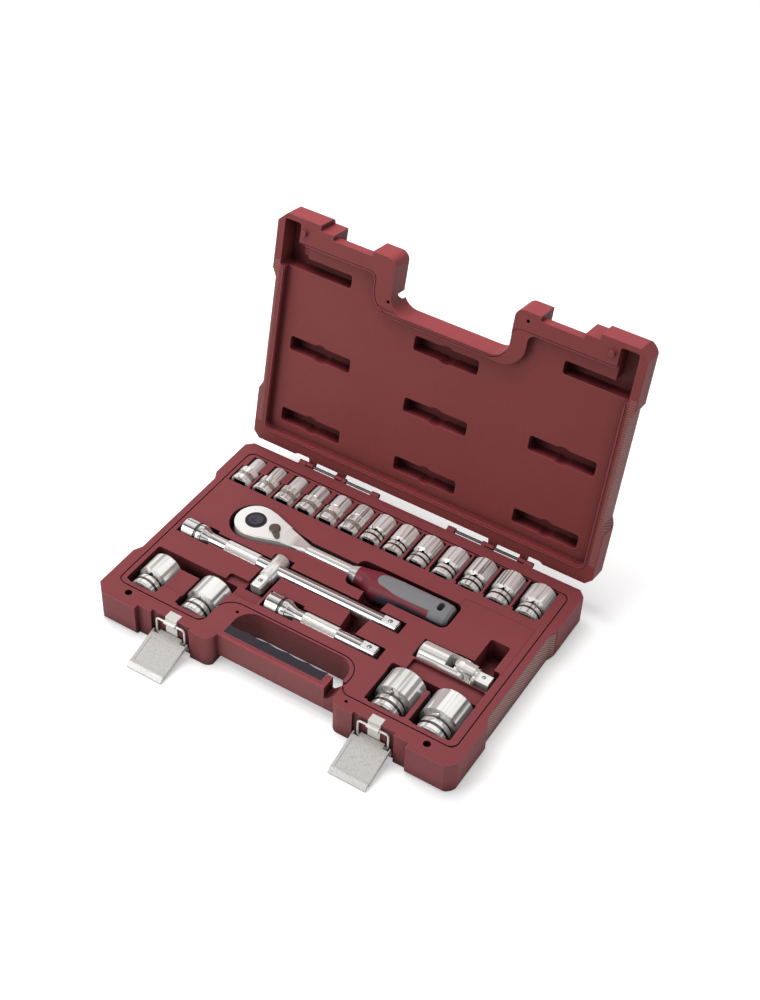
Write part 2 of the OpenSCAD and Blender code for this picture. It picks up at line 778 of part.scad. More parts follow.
module knurl_band(r, l) {
  // band of shallow ridges along +X
  n = 36;
  rotate([0, 90, 0])
    difference() {
      cylinder(r = r, h = l);
      for (i = [0 : n - 1])
        rotate(i * 360 / n) translate([r + 0.25, 0, -1]) cylinder(r = 0.6, h = l + 2, $fn = 4);
    }
}

// Bar along +X from its female end
module extension(l, knurl_x) {
  cup = 28;
  r = cup_d / 2;
  difference() {
    union() {
      rotate([0, 90, 0])
        rotate_extrude()
          polygon([
            [0, 0], [r - 1.2, 0], [r, 1.2], [r, 14], [r - 0.8, 14.6], [r - 0.8, 17], [r, 17.6],
            [r, cup - 6], [r - 1.2, cup - 4.6],
            [shaft_d / 2 + 0.6, cup + 1], [shaft_d / 2, cup + 4],
            [shaft_d / 2, l - 20], [drive / 2 + 0.2, l - 16.5], [0, l - 16.5]
          ]);
      translate([knurl_x, 0, 0]) knurl_band(shaft_d / 2 + 0.8, knurl_l);
      translate([l - 19, 0, 0]) intersection() {
        square_bar(drive - 0.2, 19, 1.6);
        rotate([0, 90, 0]) cylinder(r1 = drive, r2 = drive * 0.62, h = 19);
      }
    }
    translate([-1, -drive / 2 - 0.05, -drive / 2 - 0.05]) cube([18, drive + 0.1, drive + 0.1]);
    translate([l - ball_back, 0, ball_at]) ball_well(ball_travel);
    // cross hole for the detent ball
    translate([8, 0, 0]) rotate([90, 0, 0]) cylinder(d = ball_d, h = r + 1, $fn = 32);
  }
}

module detent_ball() {
  color("white") sphere(d = ball_d, $fn = 48);
}

// Well of a detent ball round its centre, its rim staked over the ball
module ball_well(depth) {
  r = ball_d / 2 + ball_play;
  translate([0, 0, -depth - r]) cylinder(r = r, h = depth + r + ball_sink - stake, $fn = 48);
  translate([0, 0, ball_sink - stake - eps]) cylinder(r1 = r, r2 = r - 0.3, h = stake + 2 * eps, $fn = 48);
  translate([0, 0, ball_sink]) cylinder(r = r - 0.3, h = 3, $fn = 48);
}

module long_extension() {
  color("silver") translate([long_x, long_y, bar_z]) extension(long_l, 50);
}

module long_extension_ball() {
  translate([long_x + long_l - ball_back, long_y, bar_z + ball_at]) detent_ball();
}

module short_extension() {
  color("silver") translate([short_x, short_y, bar_z]) extension(short_l, 40);
}

module short_extension_ball() {
  translate([short_x + short_l - ball_back, short_y, bar_z + ball_at]) detent_ball();
}

// T piece across the long bar, its drive to the front
module sliding_tee() {
  color("silver")
    translate([tee_x, long_y, bar_z])
      difference() {
        union() {
          rotate([90, 0, 0])
            rotate_extrude()
              polygon([
                [0, -tee_l / 2], [tee_d / 2 - 1, -tee_l / 2], [tee_d / 2, -tee_l / 2 + 1],
                [tee_d / 2, tee_l / 2 - 1], [tee_d / 2 - 1, tee_l / 2],
                [drive / 2 + 1, tee_l / 2 + 1], [drive / 2 + 1, tee_l / 2 + 3.5], [0, tee_l / 2 + 3.5]
              ]);
          translate([0, -tee_l / 2 - 3, 0]) rotate(-90) square_bar(drive - 0.2, 14.5, 1.6);
          // boss of the spring that grips the bar
          translate([tee_d / 2 - 2, -2, 0]) rotate([0, 90, 0]) cylinder(d = 6, h = 4.4);
        }
        translate([-20, 0, 0]) rotate([0, 90, 0]) cylinder(d = shaft_d + 0.16, h = 40);
        translate([0, -tee_l / 2 - 9, ball_at]) ball_well(ball_travel);
      }
}

module sliding_tee_ball() {
  translate([tee_x, long_y - tee_l / 2 - 9, bar_z + ball_at]) detent_ball();
}

joint_c = 42.5;                     // cross from the joint's female end
fork_gap = 6.7;                     // half the slot of each fork
ear = fork_gap - 0.3;               // half the width of the ears that swing in it

module joint_socket() {
  r = joint_d / 2;
  flare_at = fork_gap - 2.1;
  flare = fork_gap + 3.2;
  color("silver")
    translate([joint_x, joint_y, joint_z])
      difference() {
        union() {
          rotate([0, 90, 0])
            rotate_extrude()
              polygon([[0, 0], [r - 1.2, 0], [r, 1.2], [r, joint_c], [0, joint_c]]);
          intersection() {
            translate([joint_c - 1, 0, 0]) rotate([0, 90, 0]) cylinder(r = r, h = 12);
            translate([joint_c, 0, 0]) rotate([90, 0, 0])
              cylinder(r = fork_gap - 0.1, h = 40, center = true);
          }
        }
        // slot of the fork, its edges cut back so that the other fork can swing both ways
        translate([joint_c - 13.6, 0, 0]) rotate([90, 0, 90]) linear_extrude(30) polygon([
          [fork_gap, -flare_at], [fork_gap, flare_at], [flare, r + 1], [-flare, r + 1],
          [-fork_gap, flare_at], [-fork_gap, -flare_at], [-flare, -r - 1], [flare, -r - 1]
        ]);
        translate([-1, -drive / 2 - 0.05, -drive / 2 - 0.05]) cube([18, drive + 0.1, drive + 0.1]);
        translate([joint_c, 0, 0]) rotate([90, 0, 0]) cylinder(d = 6.12, h = 60, center = true);
      }
}

module joint_cross() {
  color("lightgray")
    translate([joint_x + joint_c, joint_y, joint_z]) {
      cube([11.5, 2 * fork_gap - 0.4, 2 * fork_gap - 0.4], center = true);
      rotate([90, 0, 0]) cylinder(d = 6, h = joint_d - 1.4, center = true);
      cylinder(d = 6, h = joint_d - 2.4, center = true);
    }
}

module joint_drive() {
  r = joint_d / 2 - 0.6;
  reach = 14.2;
  color("silver")
    translate([joint_x + joint_c, joint_y, joint_z])
      difference() {
        union() {
          // two ears above and below the cross
          intersection() {
            translate([-7, -ear, -r]) cube([reach + 7, 2 * ear, 2 * r]);
            rotate([0, 90, 0]) cylinder(r = r, h = 60, center = true);
            union() {
              // rounded heels that turn in the bed without touching it
              intersection() {
                cylinder(r = ear, h = 60, center = true);
                rotate([90, 0, 0]) cylinder(r = r + 0.1, h = 40, center = true);
              }
              translate([0, -ear, -30]) cube([40, 2 * ear, 60]);
            }
          }
          translate([reach, 0, 0]) rotate([0, 90, 0]) cylinder(r = 9.5, h = 2.6);
          translate([reach + 2, 0, 0]) square_bar(drive - 0.2, 14.5, 1.6);
        }
        translate([-20, -20, -fork_gap]) cube([20 + reach, 40, 2 * fork_gap]);
        cylinder(d = 6.12, h = 60, center = true);
        translate([reach + 9, 0, ball_at]) ball_well(ball_travel);
      }
}

module joint_ball() {
  translate([joint_x + joint_c + 23.2, joint_y, joint_z + ball_at]) detent_ball();
}

/* ---- ratchet ---- */

gear_t = 14;
lever_at = 22.5;                    // reversing lever from the head's centre
cover_r = 19;
cover_t = 2.2;
screw_r = 17;
screw_angles = [60, 180, 300];
button_d = 15;
journal_d = 21.6;
stem_d = 5;                         // stem of the release button
stud_ball = 8;                      // ball of the stud below the head
button_travel = 2;
pin_d = 3;
pawl_z = -head_t / 2 + cover_t + 0.5;
pawl_t = gear_t - 0.6;
tang_d = 12;
tang_l = 60;

module ratchet_place() {
  translate([head_x, head_y, head_z]) children();
}

// Outline of the head, drawn out into the shank
module head_outline(d) {
  circle(head_r - d);
  polygon([
    [2, head_r - d], [12, 19.6 - d], [26, 14.8 - d], [38, 10.8 - d], [50, 8.2 - d], [62, 7 - d],
    [62, -7 + d], [50, -8.2 + d], [38, -10.8 + d], [26, -14.8 + d], [12, -19.6 + d], [2, -head_r + d]
  ]);
}

// Side view: a flat plate that slopes down to the shank
module head_side() {
  h = head_t / 2;
  polygon([
    [-head_r - 1, -h], [34, -h], [46, -h + 2.4], [62, -shank_d / 2], [62, shank_d / 2],
    [46, h - 2.4], [34, h], [-head_r - 1, h]
  ]);
}

module ratchet_body() {
  color("silver")
    ratchet_place()
      difference() {
        union() {
          intersection() {
            union() {
              translate([0, 0, -head_t / 2 + 1]) linear_extrude(head_t - 2) head_outline(0);
              translate([0, 0, -head_t / 2]) linear_extrude(head_t) head_outline(1);
            }
            rotate([90, 0, 0]) linear_extrude(60, center = true) head_side();
            union() {
              cube([72, 60, 40], center = true);
              translate([34, 0, 0]) rotate([0, 90, 0]) cylinder(r1 = 14.6, r2 = shank_d / 2 + 0.4, h = 28);
            }
          }
          translate([44, 0, 0]) rotate([0, 90, 0]) cylinder(d = shank_d, h = -head_x - 50);
          // flare against the grip and tang inside it
          translate([-head_x - 9, 0, 0]) rotate([0, 90, 0]) cylinder(d1 = shank_d, d2 = 20, h = 9);
          translate([-head_x - 1, 0, 0]) rotate([0, 90, 0]) cylinder(d = tang_d, h = tang_l);
        }
        // gear chamber, closed below by the cover
        translate([0, 0, -head_t / 2 - 1]) cylinder(r = cover_r + 0.05, h = cover_t + 1);
        translate([0, 0, -head_t / 2]) cylinder(d = gear_d + 0.5, h = cover_t + gear_t + 0.6);
        cylinder(d = journal_d + 0.12, h = 30);
        // pawl chamber and the reversing lever's hole
        translate([lever_at, 0, -head_t / 2 + cover_t + 0.2]) cylinder(r = 8.4, h = gear_t);
        translate([lever_at, 0, 0]) cylinder(d = 5.12, h = 30);
        translate([lever_at, 0, -head_t / 2 + 0.4]) cylinder(d = pin_d, h = 5, $fn = 32);
        // pilot holes of the cover screws, into the floor's corners
        for (a = screw_angles) rotate(a)
          translate([screw_r, 0, -head_t / 2 - 1]) cylinder(d = 2.5, h = cover_t + 4, $fn = 32);
      }
}

module ratchet_cover() {
  color("lightgray")
    ratchet_place()
      difference() {
        translate([0, 0, -head_t / 2]) cylinder(r = cover_r, h = cover_t);
        translate([0, 0, -head_t / 2 - 1]) cylinder(d = 19.12, h = cover_t + 2);
        for (a = screw_angles) rotate(a)
          translate([screw_r, 0, -head_t / 2 - 1]) cylinder(d = 2.5, h = cover_t + 2, $fn = 32);
      }
}

module cover_screws() {
  color("gray")
    ratchet_place()
      for (a = screw_angles) rotate(a)
        translate([screw_r, 0, -head_t / 2]) cylinder(d = 2.5, h = cover_t + 3, $fn = 32);
}

// Toothed drive gear with its square stud below and bearing ring above
module ratchet_gear() {
  n = gear_teeth;
  r = gear_d / 2;
  z0 = -head_t / 2 + cover_t + 0.2;
  color("dimgray")
    ratchet_place()
      difference() {
        union() {
          translate([0, 0, z0]) linear_extrude(gear_t) difference() {
            circle(r);
            for (i = [0 : n - 1]) rotate(i * 360 / n)
              polygon([[r - 1, 0], [r + 1, -1.45], [r + 1, 1.45]]);
          }
          translate([0, 0, z0]) cylinder(d = journal_d, h = head_t / 2 - z0 + 0.4);
          translate([0, 0, -head_t / 2 - 0.3]) cylinder(d = 19, h = 4);
          translate([0, 0, -head_t / 2]) rotate([0, 90, 0]) square_bar(drive - 0.2, 15.5, 1.6);
        }
        translate([0, 0, head_t / 2 - 6]) cylinder(d = button_d + 0.12, h = 8);
        translate([0, 0, -head_t / 2 - 14.2]) cylinder(d = stem_d + 0.12, h = head_t + 12);
        translate([ball_at, 0, -head_t / 2 - stud_ball]) rotate([0, 90, 0]) ball_well(2);
      }
}

module ratchet_ball() {
  ratchet_place()
    translate([ball_at, 0, -head_t / 2 - stud_ball]) detent_ball();
}

module release_button() {
  color("#332f3a")
    ratchet_place()
      difference() {
        union() {
          translate([0, 0, head_t / 2 - 3.4]) cylinder(d = button_d, h = 4.4);
          translate([0, 0, -head_t / 2 - 11.8]) cylinder(d = stem_d, h = head_t + 10);
        }
        // dished face
        translate([0, 0, head_t / 2 + 15.2]) sphere(r = 15);
        // waist that the ball drops into when the button is pressed
        translate([0, 0, -head_t / 2 - stud_ball + button_travel]) rotate_extrude()
          polygon([[1.4, -0.8], [2.5, -2.2], [4, -2.2], [4, 2.2], [2.5, 2.2], [1.4, 0.8]]);
      }
}

module reverse_lever() {
  top = head_t / 2 + 0.12;
  low = pawl_z + pawl_t + 0.25;
  color("darkgray")
    ratchet_place()
      translate([lever_at, 0, 0]) {
        rotate_extrude()
          polygon([
            [0, low], [2.5, low], [2.5, top], [5.8, top],
            [5.8, top + 1.6], [4.8, top + 2.3], [0, top + 2.3]
          ]);
        rotate(-46) translate([0, 0, top + 0.2]) linear_extrude(1.1)
          polygon([[1, 4.4], [12.6, 2.8], [14.8, 0.8], [14.8, -0.8], [12.6, -2.8], [1, -4.4]]);
      }
}

// Two-ended pawl that rocks with the reversing lever
module ratchet_pawl() {
  color("dimgray")
    ratchet_place()
      translate([lever_at, 0, pawl_z]) rotate(-2)
        linear_extrude(pawl_t)
          difference() {
            circle(7.4);
            translate([-lever_at, 0]) circle(gear_d / 2 + 0.65);
            circle(d = pin_d + 0.12);
          }
}

module pawl_pin() {
  color("gray")
    ratchet_place()
      translate([lever_at, 0, -head_t / 2 + 0.4]) cylinder(d = pin_d, h = head_t / 2 - 2, $fn = 32);
}

// Sections of the grip: station, middle, width, thickness, corner
GRIP = [
  [0.05, 0, 20, 20, 9.9], [9, 0, 22, 21, 9.9], [21, -2.4, 31, 24, 11], [36, -1.4, 30, 24, 11],
  [62, -0.4, grip_w, 23.4, 10.5], [93, 0, grip_w, 22.6, 10.5], [101, 0, 26, 20.6, 9.5], [104, 0, 21, 16, 7.5]
];

module grip_solid() {
  for (i = [0 : len(GRIP) - 2])
    hull() {
      grip_section(GRIP[i]);
      grip_section(GRIP[i + 1]);
    }
}

module grip_section(g) {
  translate([-head_x + g[0], 0, 0]) rotate([90, 0, 90]) linear_extrude(0.1)
    rrect(g[1] - g[2] / 2, g[1] + g[2] / 2, -g[3] / 2, g[3] / 2, g[4], $fn = 48);
}

// Plan of the grey panel on top of the grip, running into the end cap
module panel_plan() {
  translate([-head_x + 31, -0.6]) circle(7.6);
  polygon([
    [-head_x + 31, -8.2], [-head_x + 46, -10.5], [-head_x + grip_l + 4, -10.5],
    [-head_x + grip_l + 4, 9.5], [-head_x + 46, 9.5], [-head_x + 31, 7]
  ]);
}

// Side view of the dark inlay in the front flank
module inlay_side() {
  polygon([
    [-head_x + 25, 1], [-head_x + 34, 5.4], [-head_x + 64, 5.4], [-head_x + 84, 3.4],
    [-head_x + 110, 1.5], [-head_x + 110, -20], [-head_x + 84, -20], [-head_x + 72, -6],
    [-head_x + 34, -4.5]
  ]);
}

module hang_hole() {
  translate([-head_x + 92, 0, 0]) linear_extrude(60, center = true)
    rrect(-3, 3, -5.5, 5.5, 2.9);
}

module grip_core() {
  color("#8e2f3c")
    ratchet_place()
      difference() {
        grip_solid();
        translate([0, 0, grip_t / 2 - 2.6]) linear_extrude(9) panel_plan();
        translate([-head_x + 84, -30, 2]) cube([40, 60, 30]);
        rotate([90, 0, 0]) translate([0, 0, 11]) linear_extrude(30) inlay_side();
        hang_hole();
        translate([-head_x - 2, 0, 0]) rotate([0, 90, 0]) cylinder(d = tang_d + 0.1, h = tang_l + 1);
      }
}

module grip_panel() {
  color("gray")
    ratchet_place()
      difference() {
        intersection() {
          grip_solid();
          union() {
            translate([0, 0, grip_t / 2 - 2.6]) linear_extrude(9) panel_plan();
            translate([-head_x + 84, -30, 2]) cube([40, 60, 30]);
          }
        }
        rotate([90, 0, 0]) translate([0, 0, 11]) linear_extrude(30) inlay_side();
        hang_hole();
      }
}

module grip_inlay() {
  color("#3e3b47")
    ratchet_place()
      intersection() {
        grip_solid();
        rotate([90, 0, 0]) translate([0, 0, 11]) linear_extrude(30) inlay_side();
      }
}

base_shell();
grip_bar_pad();
hinge_rod(-1);  // hinge_rod_left
hinge_rod(1);  // hinge_rod_right
lid_shell();
latch_strap(-1);  // latch_strap_left
latch_strap(1);  // latch_strap_right
strap_rivets();
latch_bail(-1);  // latch_bail_left
latch_bail(1);  // latch_bail_right
latch_lever(-1);  // latch_lever_left
latch_lever(1);  // latch_lever_right
row_socket(0);  // socket_10
row_socket(1);  // socket_11
row_socket(2);  // socket_12
row_socket(3);  // socket_13
row_socket(4);  // socket_14
row_socket(5);  // socket_15
row_socket(6);  // socket_16
row_socket(7);  // socket_17
row_socket(8);  // socket_18
row_socket(9);  // socket_19
row_socket(10);  // socket_20
row_socket(11);  // socket_21
row_socket(12);  // socket_22
large_socket(0);  // socket_24
large_socket(1);  // socket_27
large_socket(2);  // socket_30
large_socket(3);  // socket_32
long_extension();
long_extension_ball();
short_extension();
short_extension_ball();
sliding_tee();
sliding_tee_ball();
joint_socket();
joint_cross();
joint_drive();
joint_ball();
ratchet_body();
ratchet_cover();
cover_screws();
ratchet_gear();
ratchet_ball();
ratchet_pawl();
pawl_pin();
release_button();
reverse_lever();
grip_core();
grip_panel();
grip_inlay();
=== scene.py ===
# %% [markdown]
# # Socket wrench set in its case
# The solids of this set were drawn in CAD and packed as a fixed frame. Blender adds what CAD leaves
# out: finely turned chrome tools with smooth normals, and the plastics, rubber and plated steel.
# First the frame is loaded, and the box that its solids fill is kept, so that the dressed set can be
# compared with it at the end.

# %% Load the frame
import math
import bmesh
import bpy
from mathutils import Matrix, Vector


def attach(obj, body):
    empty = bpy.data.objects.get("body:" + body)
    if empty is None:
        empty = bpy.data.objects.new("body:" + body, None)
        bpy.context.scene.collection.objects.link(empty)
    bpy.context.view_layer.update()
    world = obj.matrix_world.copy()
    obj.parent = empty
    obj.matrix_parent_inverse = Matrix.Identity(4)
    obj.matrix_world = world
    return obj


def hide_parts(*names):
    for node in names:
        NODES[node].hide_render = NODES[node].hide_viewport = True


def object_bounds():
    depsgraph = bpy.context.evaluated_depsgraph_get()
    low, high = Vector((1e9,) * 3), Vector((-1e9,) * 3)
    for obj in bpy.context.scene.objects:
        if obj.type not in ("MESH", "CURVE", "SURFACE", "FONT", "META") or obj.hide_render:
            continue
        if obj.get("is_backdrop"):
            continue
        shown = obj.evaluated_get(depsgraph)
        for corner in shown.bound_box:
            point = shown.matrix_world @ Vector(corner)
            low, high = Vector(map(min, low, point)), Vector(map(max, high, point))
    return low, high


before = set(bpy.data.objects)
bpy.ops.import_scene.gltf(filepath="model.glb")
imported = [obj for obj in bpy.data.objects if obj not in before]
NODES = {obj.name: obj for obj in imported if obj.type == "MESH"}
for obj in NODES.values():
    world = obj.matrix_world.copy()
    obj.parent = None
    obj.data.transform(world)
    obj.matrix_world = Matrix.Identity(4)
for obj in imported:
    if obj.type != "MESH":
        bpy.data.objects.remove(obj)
cad_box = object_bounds()
print("CAD box", cad_box)

# %% [markdown]
# ## Camera
# The set is seen from the front right, from well above the tray, through a long lens, so that the
# far edge of the lid is hardly smaller than the near corner of the base. The three directions of
# the camera are written as the columns of its matrix.

# %% Camera
MM = 0.001

def add_camera(place, right, up, back, lens):
    """Makes the scene's camera from its place and its three directions."""
    data = bpy.data.cameras.new("camera")
    data.sensor_fit = "HORIZONTAL"
    data.sensor_width = 36
    data.lens = lens
    data.clip_end = 20
    camera = bpy.data.objects.new("camera", data)
    bpy.context.scene.collection.objects.link(camera)
    turn = Matrix((right, up, back)).transposed().to_4x4()
    camera.matrix_world = Matrix.Translation(place) @ turn
    bpy.context.scene.camera = camera
    return camera

forward = Vector((-0.36557597, 0.63250311, -0.68285725)).normalized()
right = Vector((0.8485104, 0.52803099, 0.03483338)).normalized()
up = right.cross(forward)
camera = add_camera(Vector((0.581965, -0.941841, 1.191507)), right, up, -forward, 79.31)
print("camera", camera.location)

# %% [markdown]
# ## Light and floor
# One large softbox hangs over the tray, a weaker one fills from the front left, and a plain world
# lifts the shadows. The floor is a white sweep: it keeps the soft shadow of the case, and a little
# light that only the camera sees brings its colour up to white.

# %% Colour and node helpers
def colour(code):
    """Turns an sRGB hex value into a linear RGBA colour."""
    parts = [int(code[i:i + 2], 16) / 255 for i in (0, 2, 4)]
    linear = [c / 12.92 if c <= 0.04045 else ((c + 0.055) / 1.055) ** 2.4 for c in parts]
    return (*linear, 1.0)

def add(tree, kind, settings=None, **links):
    """Adds a node. Settings are its properties; links are its inputs: a value, or a socket to join."""
    node = tree.nodes.new("ShaderNode" + kind)
    for name, value in (settings or {}).items():
        setattr(node, name, value)
    for name, value in links.items():
        key = int(name[1:]) if name[0] == "_" and name[1:].isdigit() else name.replace("_", " ")
        if isinstance(value, bpy.types.NodeSocket):
            tree.links.new(value, node.inputs[key])
        else:
            node.inputs[key].default_value = value
    return node

# %% World
bpy.context.scene.view_settings.view_transform = "Standard"
world = bpy.data.worlds.new("studio")
bpy.context.scene.world = world
world.use_nodes = True
tree = world.node_tree
tree.nodes.clear()
rays = add(tree, "LightPath")
seen = add(tree, "Math", {"operation": "MAXIMUM"}, _0=rays.outputs["Is Camera Ray"],
           _1=rays.outputs["Is Transmission Ray"])
direction = add(tree, "TexCoord")
height = add(tree, "SeparateXYZ", Vector=direction.outputs["Generated"])
# what polished metal sees: a pale studio, darker at the height of its walls and just beside the zenith
ramp = add(tree, "ValToRGB", Fac=height.outputs["Z"])
ramp.color_ramp.interpolation = "LINEAR"
stops = [(0.0, 0.9), (0.30, 0.85), (0.40, 0.12), (0.52, 0.10),
         (0.60, 0.95), (0.86, 1.0), (0.93, 0.3), (1.0, 0.9)]
band = ramp.color_ramp.elements
band.remove(band[1])
band[0].position, band[0].color = 0.0, (stops[0][1],) * 3 + (1,)
for place, grey in stops[1:]:
    band.new(place).color = (grey, grey, grey, 1)

def gap(tree, place, low, high, soft=0.05):
    """0 between two limits of a direction, 1 outside them."""
    below = add(tree, "MapRange", {"interpolation_type": "SMOOTHSTEP"}, Value=place,
                From_Min=low - soft, From_Max=low, To_Min=1, To_Max=0)
    above = add(tree, "MapRange", {"interpolation_type": "SMOOTHSTEP"}, Value=place,
                From_Min=high, From_Max=high + soft)
    return add(tree, "Math", {"operation": "MAXIMUM"}, _0=below.outputs[0], _1=above.outputs[0]).outputs[0]

# and two dark gaps between its softboxes: one runs across, one stands at the right
across = gap(tree, height.outputs["Y"], -0.40, -0.16)
upright = gap(tree, height.outputs["X"], 0.60, 0.74)
both = add(tree, "Math", {"operation": "MULTIPLY"}, _0=across, _1=upright)
strength = add(tree, "MapRange", None, Value=both.outputs[0], To_Min=0.05, To_Max=1.0)
plain = add(tree, "Background", Color=(1, 1, 1, 1), Strength=0.40)
white = add(tree, "Background", Color=(1, 1, 1, 1), Strength=1.0)
studio = add(tree, "Background", Color=ramp.outputs["Color"], Strength=strength.outputs[0])
shiny = add(tree, "MixShader", _0=rays.outputs["Is Glossy Ray"], _1=plain.outputs[0], _2=studio.outputs[0])
final = add(tree, "MixShader", _0=seen.outputs[0], _1=shiny.outputs[0], _2=white.outputs[0])
add(tree, "OutputWorld", Surface=final.outputs[0])
print("world ready")

# %% Lamps
def softbox(name, place, aim, size, watts):
    """A square area lamp at a place, turned towards a point."""
    lamp = bpy.data.lights.new(name, "AREA")
    lamp.shape = "SQUARE"
    lamp.size = size
    lamp.energy = watts
    box = bpy.data.objects.new(name, lamp)
    box.location = place
    box.rotation_euler = (Vector(aim) - Vector(place)).to_track_quat("-Z", "Y").to_euler()
    bpy.context.scene.collection.objects.link(box)
    return box

top = softbox("top_softbox", (-0.40, 0.25, 1.6), (0, 0, 0), 1.1, 20)
top.visible_glossy = False      # polished metal mirrors the world's softer bands instead
softbox("front_softbox", (-0.9, -1.2, 0.9), (0, 0, 0.05), 0.9, 8)

# %% Floor
def material(name):
    """An empty node material with its output; returns the tree and the output node."""
    made = bpy.data.materials.new(name)
    made.use_nodes = True
    made.node_tree.nodes.clear()
    return made, made.node_tree, made.node_tree.nodes.new("ShaderNodeOutputMaterial")

paper, tree, output = material("white_paper")
diffuse = add(tree, "BsdfDiffuse", Color=colour("f4f4f4"))
glow = add(tree, "Emission", Color=(1, 1, 1, 1), Strength=0.36)
rays = add(tree, "LightPath")
lifted = add(tree, "AddShader", _0=diffuse.outputs[0], _1=glow.outputs[0])
sheet = add(tree, "MixShader", _0=rays.outputs["Is Camera Ray"], _1=diffuse.outputs[0], _2=lifted.outputs[0])
tree.links.new(sheet.outputs[0], output.inputs["Surface"])

FLOOR = 4.0                 # half the floor's side, m
UNDER = -0.2 * MM           # the floor lies a hair below the case, so that their faces don't flicker
floor_mesh = bpy.data.meshes.new("floor")
floor_mesh.from_pydata([(-FLOOR, -FLOOR, UNDER), (FLOOR, -FLOOR, UNDER), (FLOOR, FLOOR, UNDER),
                        (-FLOOR, FLOOR, UNDER)], [], [(0, 1, 2, 3)])
floor = bpy.data.objects.new("floor", floor_mesh)
floor_mesh.materials.append(paper)
bpy.context.scene.collection.objects.link(floor)
floor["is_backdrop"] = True
print("floor", FLOOR * 2, "m across")

# %% [markdown]
# ## Blow-moulded polyethylene
# Both shells are blown from one tube of polyethylene. The mould is sand-blasted so that its air can
# escape, and that gives the plastic a fine matt grain. Its edges are rounded by the mould, which the
# Bevel node shows at the true radius, and are painted paler as a highlight. The waist in the ends and
# the walls of the hand opening carry fine moulded ribs, whose crests are painted paler as a highlight.
# Deep corners and the shallow steps of the tray get painted shade.

# %% Masks and mixes
def centred(tree, socket, low, high):
    """Maps 0..1 noise to low..high."""
    return add(tree, "MapRange", None, Value=socket, To_Min=low, To_Max=high).outputs[0]

def vector_math(tree, operation, *values):
    """A vector operation on sockets or values."""
    return add(tree, "VectorMath", {"operation": operation}, **{f"_{i}": v for i, v in enumerate(values)})

def inside(tree, point, low, high, soft=0.4 * MM):
    """1 inside a box given in metres, falling to 0 over the soft border round it."""
    middle = [(a + b) / 2 for a, b in zip(low, high)]
    half = [abs(b - a) / 2 for a, b in zip(low, high)]
    off = vector_math(tree, "SUBTRACT", point, middle)
    size = vector_math(tree, "ABSOLUTE", off.outputs[0])
    over = vector_math(tree, "SUBTRACT", size.outputs[0], half)
    past = vector_math(tree, "MAXIMUM", over.outputs[0], (0, 0, 0))
    far = vector_math(tree, "LENGTH", past.outputs[0]).outputs["Value"]
    return add(tree, "MapRange", None, Value=far, From_Max=soft, To_Min=1, To_Max=0).outputs[0]

def ribs(tree, point, along, pitch):
    """Waves of the given pitch (metres) along a direction, 0..1."""
    length = math.sqrt(sum(c * c for c in along))
    step = [c / length * 2 * math.pi / pitch for c in along]
    run = vector_math(tree, "DOT_PRODUCT", point, step)
    wave = add(tree, "Math", {"operation": "SINE"}, _0=run.outputs["Value"])
    return add(tree, "Math", {"operation": "MULTIPLY_ADD"}, _0=wave.outputs[0], _1=0.5, _2=0.5).outputs[0]

def line(tree, point, start, end, width):
    """1 on a straight line in the XY plane (mm) along which a step's shade is painted, falling to 0 beside
    it.
    """
    low = (start[0] * MM, start[1] * MM, -1)
    high = (end[0] * MM, end[1] * MM, 1)
    return inside(tree, point, low, high, width * MM)

def toned(tree, share, first, second):
    """Mixes two colours, each a socket or an sRGB hex value, and gives the mix's socket."""
    mix = add(tree, "Mix", {"data_type": "RGBA"}, Factor=share)
    for slot, tone in ((6, first), (7, second)):
        if isinstance(tone, str):
            mix.inputs[slot].default_value = colour(tone)
        else:
            tree.links.new(tone, mix.inputs[slot])
    return mix.outputs[2]

print("masks and mixes ready")

# %% Grained plastic
CASE_EDGE = 0.9 * MM        # rounding of the moulded edges
GRAIN = 0.35 * MM           # size of the blasted grain
DUSK = 18 * MM              # how far a corner's shade reaches

